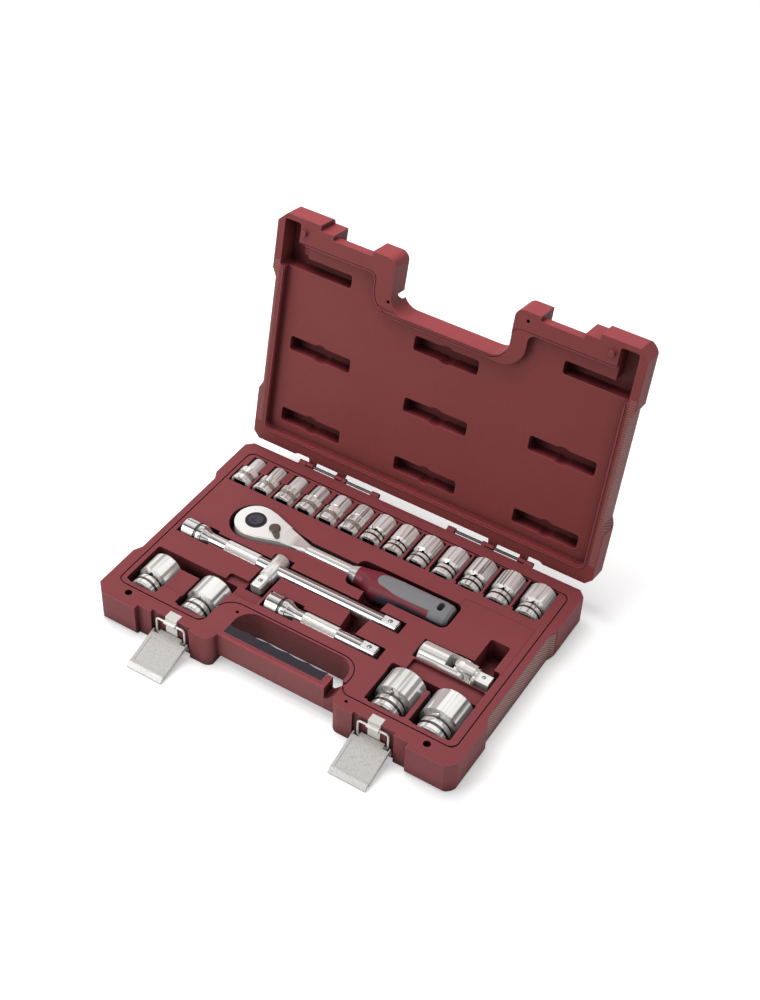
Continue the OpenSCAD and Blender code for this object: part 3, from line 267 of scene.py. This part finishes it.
def moulded_plastic(name, shade, edge_highlight, zones, step_shade_lines=(), upward_highlight=None):
    """Grained polyethylene, mottled at random towards the paler colour edge_highlight, which also paints a
    highlight on its rounded edges; deep corners get painted shade. Each zone, (low, high, direction,
    pitch, strength, crest_highlight) in mm, carries fine moulded ribs whose crests are painted with the
    paler crest_highlight as a highlight; each of the step_shade_lines paints a dark line of shade where a
    shallow step lies in the tray's top; upward_highlight is the colour painted as a highlight on faces
    that look along the shell's own +Z."""
    made, tree, output = material(name)
    at = add(tree, "TexCoord").outputs["Object"]
    cloud = add(tree, "TexNoise", None, Vector=at, Scale=9.0, Detail=4.0)
    speck = add(tree, "TexNoise", None, Vector=at, Scale=0.5 / GRAIN, Detail=2.0)
    # a random mottle towards the paler colour that also paints the edges' highlight
    coat = toned(tree, centred(tree, cloud.outputs[0], 0.0, 0.16), shade, edge_highlight)
    soft = add(tree, "Bevel", {"samples": 4}, Radius=CASE_EDGE)
    flat = add(tree, "NewGeometry")
    turn = vector_math(tree, "DISTANCE", soft.outputs[0], flat.outputs["Normal"]).outputs["Value"]
    # painted highlight: the rounded edges take the paler colour
    edge = add(tree, "MapRange", None, Value=turn, From_Min=0.04, From_Max=0.6, To_Max=0.75)
    coat = toned(tree, edge.outputs[0], coat, edge_highlight)
    # painted highlight: faces that look upwards take a lighter, redder colour
    if upward_highlight:
        facing = add(tree, "SeparateXYZ", Vector=add(tree, "TexCoord").outputs["Normal"])
        share = add(tree, "MapRange", None, Value=facing.outputs["Z"], From_Min=0.6, From_Max=0.9,
                    To_Max=0.42)
        coat = toned(tree, share.outputs[0], coat, upward_highlight)
    height = 0.0
    for low, high, along, pitch, strength, crest_highlight in zones:
        here = inside(tree, at, [v * MM for v in low], [v * MM for v in high])
        wave = add(tree, "Math", {"operation": "MULTIPLY"}, _0=here,
                   _1=ribs(tree, at, along, pitch * MM)).outputs[0]
        height = add(tree, "Math", {"operation": "MAXIMUM"}, _0=height, _1=wave).outputs[0]
        # painted highlight: the crests of the ribs take the paler crest colour
        share = add(tree, "Math", {"operation": "MULTIPLY"}, _0=wave, _1=strength)
        coat = toned(tree, share.outputs[0], coat, crest_highlight)
    ribbed = add(tree, "Bump", None, Strength=0.7, Distance=0.35 * MM, Height=height, Normal=soft.outputs[0])
    # painted shade: corners that little light reaches, and dark lines along the shallow steps of the tray
    open_sky = add(tree, "AmbientOcclusion", {"samples": 4}, Distance=DUSK)
    lit = add(tree, "MapRange", None, Value=open_sky.outputs["AO"], From_Min=0.25, From_Max=0.9, To_Min=0.16)
    share = lit.outputs[0]
    for start, end, width in step_shade_lines:
        step_shade = add(tree, "Math", {"operation": "MULTIPLY_ADD"}, _0=line(tree, at, start, end, width),
                   _1=-0.38, _2=1.0)
        share = add(tree, "Math", {"operation": "MULTIPLY"}, _0=share, _1=step_shade.outputs[0]).outputs[0]
    grit = add(tree, "MapRange", None, Value=speck.outputs[0], From_Min=0.3, From_Max=0.7,
               To_Min=0.9, To_Max=1.1)
    share = add(tree, "Math", {"operation": "MULTIPLY"}, _0=share, _1=grit.outputs[0]).outputs[0]
    deep = add(tree, "VectorMath", {"operation": "SCALE"}, _0=coat, Scale=share)
    shell = add(tree, "BsdfPrincipled", None, IOR=1.51, Specular_IOR_Level=0.28)
    tree.links.new(centred(tree, speck.outputs[0], 0.44, 0.62), shell.inputs["Roughness"])
    tree.links.new(deep.outputs[0], shell.inputs["Base Color"])
    grain = add(tree, "Bump", None, Strength=0.5, Distance=0.07 * MM, Height=speck.outputs[0],
                Normal=ribbed.outputs[0])
    tree.links.new(grain.outputs[0], shell.inputs["Normal"])
    tree.links.new(shell.outputs[0], output.inputs["Surface"])
    return made

# %% Where the ribs lie, and the steps whose shade is painted
# ribs: the waists of both ends, the grip bar's front edge, front and end, and the hand opening's wall; the
# last colour of each is a paler crest painted as highlight
DIAGONAL = (0, 0.777, 1)
BASE_RIBS = [((-196, -67, 1), (-190, 70, 34), DIAGONAL, 2.4, 0.62, "c0aca2"),
             ((190, -67, 1), (196, 70, 34), DIAGONAL, 2.4, 0.62, "c0aca2"),
             ((-61, -111.6, 34), (52, -109.2, 37.6), (1, 0, 0), 2.3, 0.55, "c4525f"),
             ((-64, -111.6, 8), (52, -110.8, 34), (0.15, 0, 1), 2.1, 0.20, "a88474"),
             ((51.5, -110, 20), (53.5, -95, 37), (0, 1, 0.3), 2.2, 0.5, "c4525f"),
             ((-64, -96, 2), (64, -69, 33), (0.6, 0, 1), 2.2, 0.30, "a0685c")]
LID_RIBS = [((-196, 128, 60), (-190, 230, 240), (0, 0.6, 1), 2.4, 0.22, "c0aca2"),
            ((190, 128, 60), (196, 230, 240), (0, 0.6, 1), 2.4, 0.22, "c0aca2")]
# painted shade: dark lines along the shallow steps round the land to the right of the ratchet
BASE_STEP_SHADES = [((103.9, 41), (103.9, 57), 0.8), ((103.9, 57), (178.8, 57), 0.8),
              ((178.8, 57), (178.8, -9), 0.8)]
BASE_RED = moulded_plastic("base_polyethylene", "78383b", "c56a72", BASE_RIBS, BASE_STEP_SHADES)
# the lid's upward faces get a lighter, redder painted highlight
LID_RED = moulded_plastic("lid_polyethylene", "7b3533", "b9606a", LID_RIBS, upward_highlight="b0454f")
print("plastics", BASE_RED.name, LID_RED.name)

# %% [markdown]
# ## Chrome and plated steel
# The tools are forged chrome-vanadium steel, polished and chrome-plated: almost a mirror, with very
# faint drawing lines. The latches are pressed from zinc-plated sheet, which is satin and a little
# cloudy. Balls, gear and pawl are plain hardened steel.

# %% Metals
def plated(name, shade, rough, spread, bump, edge=0.25 * MM, scale=900.0, stretch=(1, 1, 1), haze=0.0,
           edge_highlight=None, mottle_and_reflection=None, polished=None):
    """A metal with a cloudy roughness and faint marks of its finish. haze is the share of its light
    that fine blasting scatters; mottle_and_reflection is the colour of darker marks, a mottle on the
    zinc and the knurl and painted reflection of neighbouring pieces on the sockets; edge_highlight is
    the colour of a painted highlight on its edges; to the right of the place polished (mm) the piece is
    left bright."""
    made, tree, output = material(name)
    at = add(tree, "TexCoord").outputs["Object"]
    long = add(tree, "Mapping", None, Vector=at, Scale=stretch)
    cloud = add(tree, "TexNoise", None, Vector=at, Scale=60.0, Detail=3.0)
    marks = add(tree, "TexNoise", None, Vector=long.outputs[0], Scale=scale, Detail=3.0)
    flat = add(tree, "NewGeometry")
    soft = add(tree, "Bevel", {"samples": 4}, Radius=edge).outputs[0] if edge else flat.outputs["Normal"]
    metal = add(tree, "BsdfPrincipled", None, Base_Color=colour(shade), Metallic=1.0 - haze)
    shine = centred(tree, cloud.outputs[0], rough - spread, rough + spread)
    if polished:
        across = add(tree, "SeparateXYZ", Vector=at).outputs["X"]
        bright = add(tree, "MapRange", None, Value=across, From_Min=(polished - 3) * MM,
                     From_Max=(polished + 3) * MM)
        shine = add(tree, "MapRange", None, Value=bright.outputs[0], To_Min=shine, To_Max=0.09).outputs[0]
        whole = add(tree, "MapRange", None, Value=bright.outputs[0], To_Min=1.0 - haze, To_Max=0.6)
        tree.links.new(whole.outputs[0], metal.inputs["Metallic"])
    tree.links.new(shine, metal.inputs["Roughness"])
    coat = None
    # darker marks: a mottle on zinc and knurl, painted reflection of neighbouring pieces on the sockets
    if mottle_and_reflection:
        marked = add(tree, "MapRange", None, Value=marks.outputs[0], From_Min=0.50, From_Max=0.66)
        coat = toned(tree, marked.outputs[0], shade, mottle_and_reflection)
    # painted highlight on the rounded edges
    if edge_highlight:
        turn = vector_math(tree, "DISTANCE", soft, flat.outputs["Normal"]).outputs["Value"]
        edge_highlight_share = add(tree, "MapRange", None, Value=turn, From_Min=0.05, From_Max=0.6)
        coat = toned(tree, edge_highlight_share.outputs[0], coat or shade, edge_highlight)
    if coat:
        tree.links.new(coat, metal.inputs["Base Color"])
    worked = add(tree, "Bump", None, Strength=bump, Distance=0.02 * MM, Height=marks.outputs[0], Normal=soft)
    tree.links.new(worked.outputs[0], metal.inputs["Normal"])
    tree.links.new(metal.outputs[0], output.inputs["Surface"])
    return made

CHROME = plated("chrome_plate", "e4e2e0", 0.09, 0.02, 0.06, haze=0.12)
TURNED_CHROME = plated("turned_chrome", "e6e4e2", 0.08, 0.02, 0.05, edge=0, haze=0.12)
DRAWN = (1, 0.02, 1)        # marks drawn out along Y, the way a socket lies
# the darker streaks along the sockets, small and large, are painted reflections of their neighbours
SOCKET_CHROME = plated("satin_socket_chrome", "fbf8f5", 0.14, 0.05, 0.6, edge=0, scale=420.0,
                       stretch=DRAWN, haze=0.6, mottle_and_reflection="8c847f")
LARGE_CHROME = plated("large_socket_chrome", "f6f5f2", 0.10, 0.03, 0.4, edge=0, scale=260.0,
                      stretch=DRAWN, haze=0.42, mottle_and_reflection="a39d98")
HEAD_CHROME = plated("satin_head_chrome", "f8f6f3", 0.3, 0.06, 0.4, haze=0.55, polished=-74.0)
FORK_CHROME = plated("fork_chrome", "f6f4f0", 0.10, 0.03, 0.1, haze=0.45)
TEE_CHROME = plated("satin_tee_chrome", "f4f2ef", 0.22, 0.05, 0.3, edge=0, haze=0.4)
# the latch lever's paler edges are a painted highlight; its darker marks are a mottle of the plating
ZINC = plated("zinc_plate", "cfcdca", 0.42, 0.08, 0.5, edge=0.6 * MM, scale=700.0, haze=0.6, edge_highlight="e2e0dd",
              mottle_and_reflection="bab8b5")
PALE_ZINC = plated("pale_zinc_plate", "e8e5df", 0.40, 0.08, 0.8, edge=0.3 * MM, scale=420.0, haze=0.3)
BALL = plated("hardened_ball", "cfcfd0", 0.16, 0.03, 0.1)
DARK = plated("blackened_steel", "4a4a4d", 0.4, 0.05, 0.3)
ROD = plated("drawn_rod", "6b6864", 0.35, 0.05, 0.3)
SATIN = plated("satin_nickel", "857b6e", 0.33, 0.05, 0.4)
print("metals ready")

# %% [markdown]
# ## Rubber and grip plastics
# The pad in the grip bar and the grey parts of the ratchet's grip are soft rubber, matt and slightly
# mottled. The red core of the grip is moulded harder plastic with a soft gloss.

# %% Rubbers
def moulded_grip(name, shade, lighter, rough, bump, grain=0.5 * MM, edge=0.5 * MM):
    """Rubber or grip plastic: mottled colour, fine grain."""
    made, tree, output = material(name)
    at = add(tree, "TexCoord").outputs["Object"]
    cloud = add(tree, "TexNoise", None, Vector=at, Scale=70.0, Detail=4.0)
    speck = add(tree, "TexNoise", None, Vector=at, Scale=0.5 / grain, Detail=2.0)
    tone = toned(tree, centred(tree, cloud.outputs[0], 0.0, 0.5), shade, lighter)
    soft = add(tree, "Bevel", {"samples": 4}, Radius=edge)
    skin = add(tree, "BsdfPrincipled", None, IOR=1.5)
    tree.links.new(tone, skin.inputs["Base Color"])
    tree.links.new(centred(tree, speck.outputs[0], rough - 0.06, rough + 0.06), skin.inputs["Roughness"])
    grained = add(tree, "Bump", None, Strength=bump, Distance=0.05 * MM, Height=speck.outputs[0],
                  Normal=soft.outputs[0])
    tree.links.new(grained.outputs[0], skin.inputs["Normal"])
    tree.links.new(skin.outputs[0], output.inputs["Surface"])
    return made

PAD = moulded_grip("pad_rubber", "2b252c", "38313a", 0.72, 0.5)
GRIP_RED = moulded_grip("grip_red", "6f2531", "7e2e3b", 0.42, 0.2)
GRIP_GREY = moulded_grip("grip_grey", "79797c", "858588", 0.55, 0.5)
GRIP_SLATE = moulded_grip("grip_slate", "3c3a46", "4a4854", 0.5, 0.4)
BUTTON = moulded_grip("button_plastic", "383540", "413e4a", 0.4, 0.2)
print("rubbers ready")

# %% [markdown]
# ## Turned tools
# A socket is turned from bar and broached: every cut across it is a ring. Such a ring can be a
# circle, a square or a twelve-pointed star as long as all rings have the same number of points, so
# one function joins rings into a closed skin, outside and inside.

# %% Rings into a skin
POINTS = 96                 # points round each ring: a multiple of 24
SHARP = 28                  # degrees from which an edge stays crisp

def circle(r):
    """Radius of a round ring."""
    return lambda a: r

def square(side, corner=0.3 * MM):
    """Radius of a square hole at an angle."""
    return lambda a: min(side / 2 / max(abs(math.cos(a)), abs(math.sin(a))), side / 2 * math.sqrt(2) - corner)

def star(flats):
    """Radius of a twelve-point hole, the union of two hexagons."""
    def radius(a):
        reach = []
        for turn in (0, math.pi / 6):
            b = (a - turn) % (math.pi / 3)
            reach.append(flats / 2 / math.cos(b - math.pi / 6))
        return max(reach)
    return radius

def turned(name, rings, place, look, points=POINTS, open_ends=False):
    """Closed skin through rings of (distance, radius rule); place maps (along, u, v) to the frame.
    With open_ends the first and last rings are capped, otherwise they are joined to each other."""
    mesh = bmesh.new()
    loops = []
    for along, rule in rings:
        loops.append([mesh.verts.new(place(along, rule(a) * math.cos(a), rule(a) * math.sin(a)))
                      for a in (2 * math.pi * i / points for i in range(points))])
    after = loops[1:] if open_ends else loops[1:] + loops[:1]
    for one, two in zip(loops, after):
        for i in range(points):
            j = (i + 1) % points
            mesh.faces.new((one[i], one[j], two[j], two[i]))
    if open_ends:
        mesh.faces.new(loops[0])
        mesh.faces.new(loops[-1])
    bmesh.ops.recalc_face_normals(mesh, faces=mesh.faces)
    data = bpy.data.meshes.new(name)
    mesh.to_mesh(data)
    mesh.free()
    data.shade_smooth()
    data.set_sharp_from_angle(angle=math.radians(SHARP))
    data.materials.append(look)
    thing = bpy.data.objects.new(name, data)
    bpy.context.scene.collection.objects.link(thing)
    return thing

def along_x(x, y, z):
    """A tool along +X from its left end at x, y, z (mm)."""
    return lambda along, u, v: ((x + along) * MM, (y + u) * MM, (z + v) * MM)

def along_y(x, y, z):
    """A tool along +Y from its front end at x, y, z (mm)."""
    return lambda along, u, v: ((x + u) * MM, (y + along) * MM, (z + v) * MM)

def wear(thing, node, body):
    """The piece stands for a CAD node, moves with its body and has its finish."""
    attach(thing, body)
    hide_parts(node)

# %% [markdown]
# ## Sockets
# Thirteen small sockets lie in the back row with their drive ends to the front, and four large ones
# in pairs beside the hand opening. Up to 15 mm they have a knurled band round the drive end, from
# 16 mm on a grooved collar, a waist and a pin hole.

# %% Socket sizes
DRIVE = 12.7                # side of the square drive, mm
DRIVE_DEEP = 16             # depth of the square hole
FIT = 0.1                   # how much wider the square hole is
BASE_H = 37.0               # height of the base
SMALL = [10, 11, 12, 13, 14, 15, 16, 17, 18, 19, 20, 21, 22]
LARGE = {24: -161.5, 27: -104.5, 30: 108.5, 32: 156.5}

def hex_end(s):
    """Outside diameter of a socket at its nut end."""
    return 1.18 * s + 4

def drive_end(s):
    """Outside diameter of a socket at its drive end."""
    return max(23, 0.72 * s + 9.5)

def socket_length(s):
    """Length of a socket."""
    return 38 if s < 20 else 40 if s < 24 else 42 + 0.75 * (s - 24)

def row_places():
    """Middle of each small socket across the case."""
    width = [max(hex_end(s), drive_end(s)) for s in SMALL]
    run = [0]
    for a, b in zip(width, width[1:]):
        run.append(run[-1] + (a + b) / 2 + 2.8)
    return {s: r - run[-1] / 2 - 4.5 for s, r in zip(SMALL, run)}

ROW = row_places()
print("row from", round(ROW[10], 1), "to", round(ROW[22], 1), "mm")

# %% Finishes of bands, grooves and bores, with painted shade in grooves and bores
KNURL = plated("knurled_chrome", "c6bfb8", 0.3, 0.05, 1.0, edge=0, scale=700.0, haze=0.4, mottle_and_reflection="6d655f")
FLUTE = plated("fluted_chrome", "e6e2de", 0.3, 0.05, 0.6, edge=0, haze=0.45)
# painted shade: the floors of grooves take a dark chrome
GROOVE_SHADE = plated("groove_shade_chrome", "6b6460", 0.25, 0.05, 0.4, edge=0, haze=0.1)
# the square bores are dull, and darkened as painted shade
BORE_SHADE = plated("bore_shade_steel", "4b4542", 0.4, 0.05, 0.4, edge=0, haze=0.2)
print("cut finishes", KNURL.name, FLUTE.name, GROOVE_SHADE.name, BORE_SHADE.name)

# %% Drilling
def drilled(thing, radius, start, end, points=32):
    """Cuts a round hole between two points (metres) out of a piece."""
    axis = Vector(end) - Vector(start)
    tool_mesh = bmesh.new()
    bmesh.ops.create_cone(tool_mesh, cap_ends=True, segments=points, radius1=radius, radius2=radius,
                          depth=axis.length)
    data = bpy.data.meshes.new("drill")
    tool_mesh.to_mesh(data)
    tool_mesh.free()
    drill = bpy.data.objects.new("drill", data)
    drill.matrix_world = (Matrix.Translation((Vector(start) + Vector(end)) / 2)
                          @ axis.to_track_quat("Z", "Y").to_matrix().to_4x4())
    bpy.context.scene.collection.objects.link(drill)
    cut = thing.modifiers.new("cut", "BOOLEAN")
    cut.operation = "DIFFERENCE"
    cut.solver = "EXACT"
    cut.object = drill
    bpy.context.view_layer.update()
    whole = bpy.data.meshes.new_from_object(thing.evaluated_get(bpy.context.evaluated_depsgraph_get()))
    thing.modifiers.clear()
    thing.data = whole
    bpy.data.objects.remove(drill)
    whole.shade_smooth()
    whole.set_sharp_from_angle(angle=math.radians(SHARP))

# %% One socket
def outer(pairs):
    """Round rings from pairs of distance and radius."""
    return [(along, circle(r)) for along, r in pairs]

def socket_rings(s):
    """Rings from the drive end round the hex end and back through the bore."""
    l, rd, rh = socket_length(s), drive_end(s) / 2, hex_end(s) / 2
    if s < 16:
        neck = min(rd, rh) - 0.4
        skin = outer([(0, rd - 1.4), (0.5, rd - 0.5), (1.4, rd), (6, rd), (6.4, rd - 0.5),
                      (11.6, rd - 0.5), (12, rd), (18.4, rd), (18.9, rd - 0.3), (19.6, rd - 1.2),
                      (20.2, neck), (21, neck), (21.4, rh),
                      (l - 1.2, rh), (l - 0.4, rh - 0.4), (l, rh - 1.2)])
    else:
        c = 0.3 * l
        skin = outer([(0, rd - 1.4), (0.5, rd - 0.5), (1.4, rd), (0.4 * c, rd), (0.4 * c + 0.3, rd - 0.4),
                      (0.6 * c, rd - 0.4), (0.6 * c + 0.3, rd), (c - 1, rd), (c - 0.4, rd - 0.2),
                      (c, rd - 0.8), (c + 0.3, rd - 1.8), (c + 3, rd - 1.8), (c + 5.4, rh),
                      (l - 1.4, rh), (l - 0.5, rh - 0.5), (l, rh - 1.4)])
    through = min(0.9 * s, DRIVE - 0.7) / 2
    deep = l - 0.42 * l
    bore = [(l, star(s + 1.0)), (l - 0.6, star(s + 0.15)), (deep, star(s + 0.15)), (deep, circle(through)),
            (DRIVE_DEEP, circle(through)), (DRIVE_DEEP, square(DRIVE + FIT)), (0.5, square(DRIVE + FIT)),
            (0, square(DRIVE + 1.0))]
    return skin + bore

def shade_groove(thing, s, y):
    """Paints shade, as a dark chrome, on the floor of the groove round the drive end of a socket of 16 mm or
    more.
    """
    if s < 16:
        return
    thing.data.materials.append(GROOVE_SHADE)
    c = 0.3 * socket_length(s)
    for face in thing.data.polygons:
        along = face.center.y / MM - y
        reach = math.hypot(face.normal.x, face.normal.z)
        if reach > 0.5 and (0.4 * c < along < 0.6 * c + 0.3 or c < along < c + 3):
            face.material_index = 1

def shade_bore(thing, x, y, z):
    """Gives the walls of the square drive a dull finish and a dark colour that is painted shade deep in the
    hole.
    """
    thing.data.materials.append(BORE_SHADE)
    last = len(thing.data.materials) - 1
    for face in thing.data.polygons:
        along = face.center.y / MM - y
        reach = math.hypot(face.center.x / MM - x, face.center.z / MM - z)
        if 0.2 < along < DRIVE_DEEP + 0.5 and reach < 0.73 * DRIVE:
            face.material_index = last

def make_socket(s):
    """Turns one socket, gives the knurled band of a small one its own finish, paints shade into its grooves
    and square bore, and bores the pin hole of the larger ones.
    """
    wide = max(hex_end(s), drive_end(s))
    if s < 24:
        x, y, z = ROW[s], 71.5, BASE_H + 5.6 - wide / 2
    else:
        x, y, z = LARGE[s], -100.5, BASE_H + 6.7 - wide / 2
    look = SOCKET_CHROME if s < 24 else LARGE_CHROME
    thing = turned(f"socket_{s}_turned", socket_rings(s), along_y(x, y, z), look)
    shade_groove(thing, s, y)
    if s >= 16:
        hole_y = y + 0.3 * socket_length(s) + 1.6
        drilled(thing, 2.3 * MM, (x * MM, hole_y * MM, z * MM), (x * MM, hole_y * MM, (z + wide) * MM))
    else:
        thing.data.materials.append(KNURL)
        for face in thing.data.polygons:
            along = face.center.y / MM - y
            reach = math.hypot(face.center.x / MM - x, face.center.z / MM - z)
            if 6 < along < 12 and reach > drive_end(s) / 2 - 0.8:
                face.material_index = 1
    shade_bore(thing, x, y, z)
    wear(thing, f"socket_{s}", f"socket_{s}")
    return thing

sockets = [make_socket(s) for s in SMALL + list(LARGE)]
print(len(sockets), "sockets,", sum(len(t.data.polygons) for t in sockets), "faces")

# %% [markdown]
# ## Bars
# An extension bar has a square hole in its wide end and a square with a sprung ball at the other.
# Its shaft carries a band of fine flutes, so its rings have four points to each flute. The T piece
# is turned the same way, then bored through for the bar that it slides on.

# %% Extension bars
FLUTES = 36
SHAFT, CUP, KNURL_L = 13.5, 22.0, 38.0
BALL_D = 4.6
BALL_BACK = 8.5             # ball from the end of the square

def peg(side, chamfer):
    """Radius of a square bar with chamfered corners."""
    def radius(a):
        flat = side / 2 / max(abs(math.cos(a)), abs(math.sin(a)))
        corner = (side - chamfer) / math.sqrt(2) / math.cos((a % (math.pi / 2)) - math.pi / 4)
        return min(flat, corner)
    return radius

FLUTE_DEPTH = 0.22

def fluted(r):
    """Radius of a ring with fine flutes."""
    return lambda a: r + FLUTE_DEPTH * math.cos(FLUTES * a)

def bar_rings(l, knurl_x):
    """Rings of a bar of length l from its square hole, along the outside to the square at its tip."""
    r, s = CUP / 2, SHAFT / 2
    hole = [(17, square(DRIVE + FIT)), (0.6, square(DRIVE + FIT)), (0, square(DRIVE + 1.2))]
    wide = outer([(0, r - 1.2), (0.4, r - 0.45), (1.2, r), (14, r), (14.2, r - 0.6), (14.6, r - 0.8),
                  (17, r - 0.8), (17.4, r - 0.6), (17.6, r), (22, r), (22.7, r - 0.3), (23.4, r - 1.2),
                  (29, s + 0.6), (30.4, s + 0.2), (32, s), (knurl_x, s), (knurl_x + 0.4, s + 0.6)])
    band = [(knurl_x + 0.8, fluted(s + 0.58)), (knurl_x + KNURL_L - 0.8, fluted(s + 0.58))]
    end = outer([(knurl_x + KNURL_L - 0.4, s + 0.6), (knurl_x + KNURL_L, s), (l - 20, s),
                 (l - 17.2, 6.8), (l - 16.5, 6.3)])
    tip = [(l - 16.4, peg(DRIVE - 0.2, 1.6)), (l - 1.1, peg(DRIVE - 0.2, 1.9)),
           (l - 0.3, peg(DRIVE - 1.2, 2.2)), (l, peg(DRIVE - 2.2, 2.2))]
    return hole + wide + band + end + tip

def make_bar(node, body, x, y, z, l, knurl_x):
    """Turns one bar, paints shade in its groove, dulls its flutes, and bores the ball's well and the pin
    hole.
    """
    thing = turned(node + "_turned", bar_rings(l, knurl_x), along_x(x, y, z), TURNED_CHROME,
                   points=4 * FLUTES, open_ends=True)
    thing.data.materials.append(GROOVE_SHADE)
    thing.data.materials.append(FLUTE)
    for face in thing.data.polygons:
        along = face.center.x / MM - x
        reach = math.hypot(face.center.y / MM - y, face.center.z / MM - z)
        if 14.2 < along < 17.4 and reach > 9:
            face.material_index = 1
        elif knurl_x + 0.4 < along < knurl_x + KNURL_L - 0.4 and reach > 6:
            face.material_index = 2
    well = ((x + l - BALL_BACK) * MM, y * MM)
    drilled(thing, (BALL_D / 2 + 0.05) * MM, (*well, (z + 1) * MM), (*well, (z + 9) * MM))
    drilled(thing, BALL_D / 2 * MM, ((x + 8) * MM, y * MM, z * MM), ((x + 8) * MM, (y - 13) * MM, z * MM))
    wear(thing, node, body)
    return thing

BAR_Z = BASE_H - 4
long_bar = make_bar("long_extension", "long_bar", -176.5, -10, BAR_Z, 246, 50)
short_bar = make_bar("short_extension", "short_bar", -51, -48, BAR_Z, 121, 40)
print("bars", len(long_bar.data.polygons), len(short_bar.data.polygons), "faces")

# %% T piece
TEE_X, TEE_L, TEE_D = -70.5, 29.5, 17.0

def tee_rings():
    """Rings of the T piece from its blunt end to the square at its tip."""
    r = TEE_D / 2
    body = outer([(0, r - 1), (0.3, r - 0.35), (1, r), (TEE_L - 1, r), (TEE_L - 0.3, r - 0.3), (TEE_L, r - 1),
                  (TEE_L + 1, DRIVE / 2 + 1), (TEE_L + 3.5, DRIVE / 2 + 1)])
    tip = [(TEE_L + 3.5, peg(DRIVE - 0.2, 1.6)), (TEE_L + 16.4, peg(DRIVE - 0.2, 1.9)),
           (TEE_L + 17.2, peg(DRIVE - 1.2, 2.2)), (TEE_L + 17.5, peg(DRIVE - 2.2, 2.2))]
    return body + tip

tee = turned("sliding_tee_turned", tee_rings(),
             lambda along, u, v: ((TEE_X + u) * MM, (-10 + TEE_L / 2 - along) * MM, (BAR_Z + v) * MM),
             TEE_CHROME, open_ends=True)
drilled(tee, (SHAFT / 2 + 0.08) * MM, ((TEE_X - 20) * MM, -0.010, BAR_Z * MM),
        ((TEE_X + 20) * MM, -0.010, BAR_Z * MM), 64)
well = (TEE_X * MM, (-10 - TEE_L / 2 - 9) * MM)
drilled(tee, (BALL_D / 2 + 0.05) * MM, (*well, (BAR_Z + 1) * MM), (*well, (BAR_Z + 9) * MM))
wear(tee, "sliding_tee", "tee")
print("T piece", len(tee.data.polygons), "faces")

# %% [markdown]
# ## Finishes of the other solids
# Every solid that stays gets the finish of its real material in its own slots.

# %% Put the finishes on
FINISH = {
    "base_shell": BASE_RED, "lid_shell": LID_RED, "grip_bar_pad": PAD,
    "hinge_rod_left": ROD, "hinge_rod_right": ROD,
    "latch_strap_left": PALE_ZINC, "latch_strap_right": PALE_ZINC, "strap_rivets": PALE_ZINC,
    "latch_bail_left": PALE_ZINC, "latch_bail_right": PALE_ZINC,
    "latch_lever_left": ZINC, "latch_lever_right": ZINC,
    "long_extension_ball": BALL, "short_extension_ball": BALL, "sliding_tee_ball": BALL,
    "joint_ball": BALL, "ratchet_ball": BALL,
    "joint_socket": FORK_CHROME, "joint_cross": FORK_CHROME, "joint_drive": FORK_CHROME,
    "ratchet_gear": DARK, "ratchet_pawl": DARK, "pawl_pin": DARK,
    "ratchet_cover": SATIN, "cover_screws": SATIN,
    "release_button": BUTTON, "reverse_lever": SATIN, "ratchet_body": HEAD_CHROME,
    "grip_core": GRIP_RED, "grip_panel": GRIP_GREY, "grip_inlay": GRIP_SLATE,
}
for name, node in NODES.items():
    look = FINISH.get(name, CHROME)
    for slot in node.material_slots:
        slot.material = look
    if not node.material_slots:
        node.data.materials.append(look)
print(len(NODES), "solids finished")

# %% [markdown]
# ## Finish
# The box of the dressed set is written beside the CAD box, so that the two can be compared.

# %% Sizes and finish
def plain_list(value):
    """Vectors as plain lists of numbers."""
    return [plain_list(v) for v in value] if hasattr(value, "__len__") else float(value)

{"cad": plain_list(cad_box), "visual": plain_list(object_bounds())}
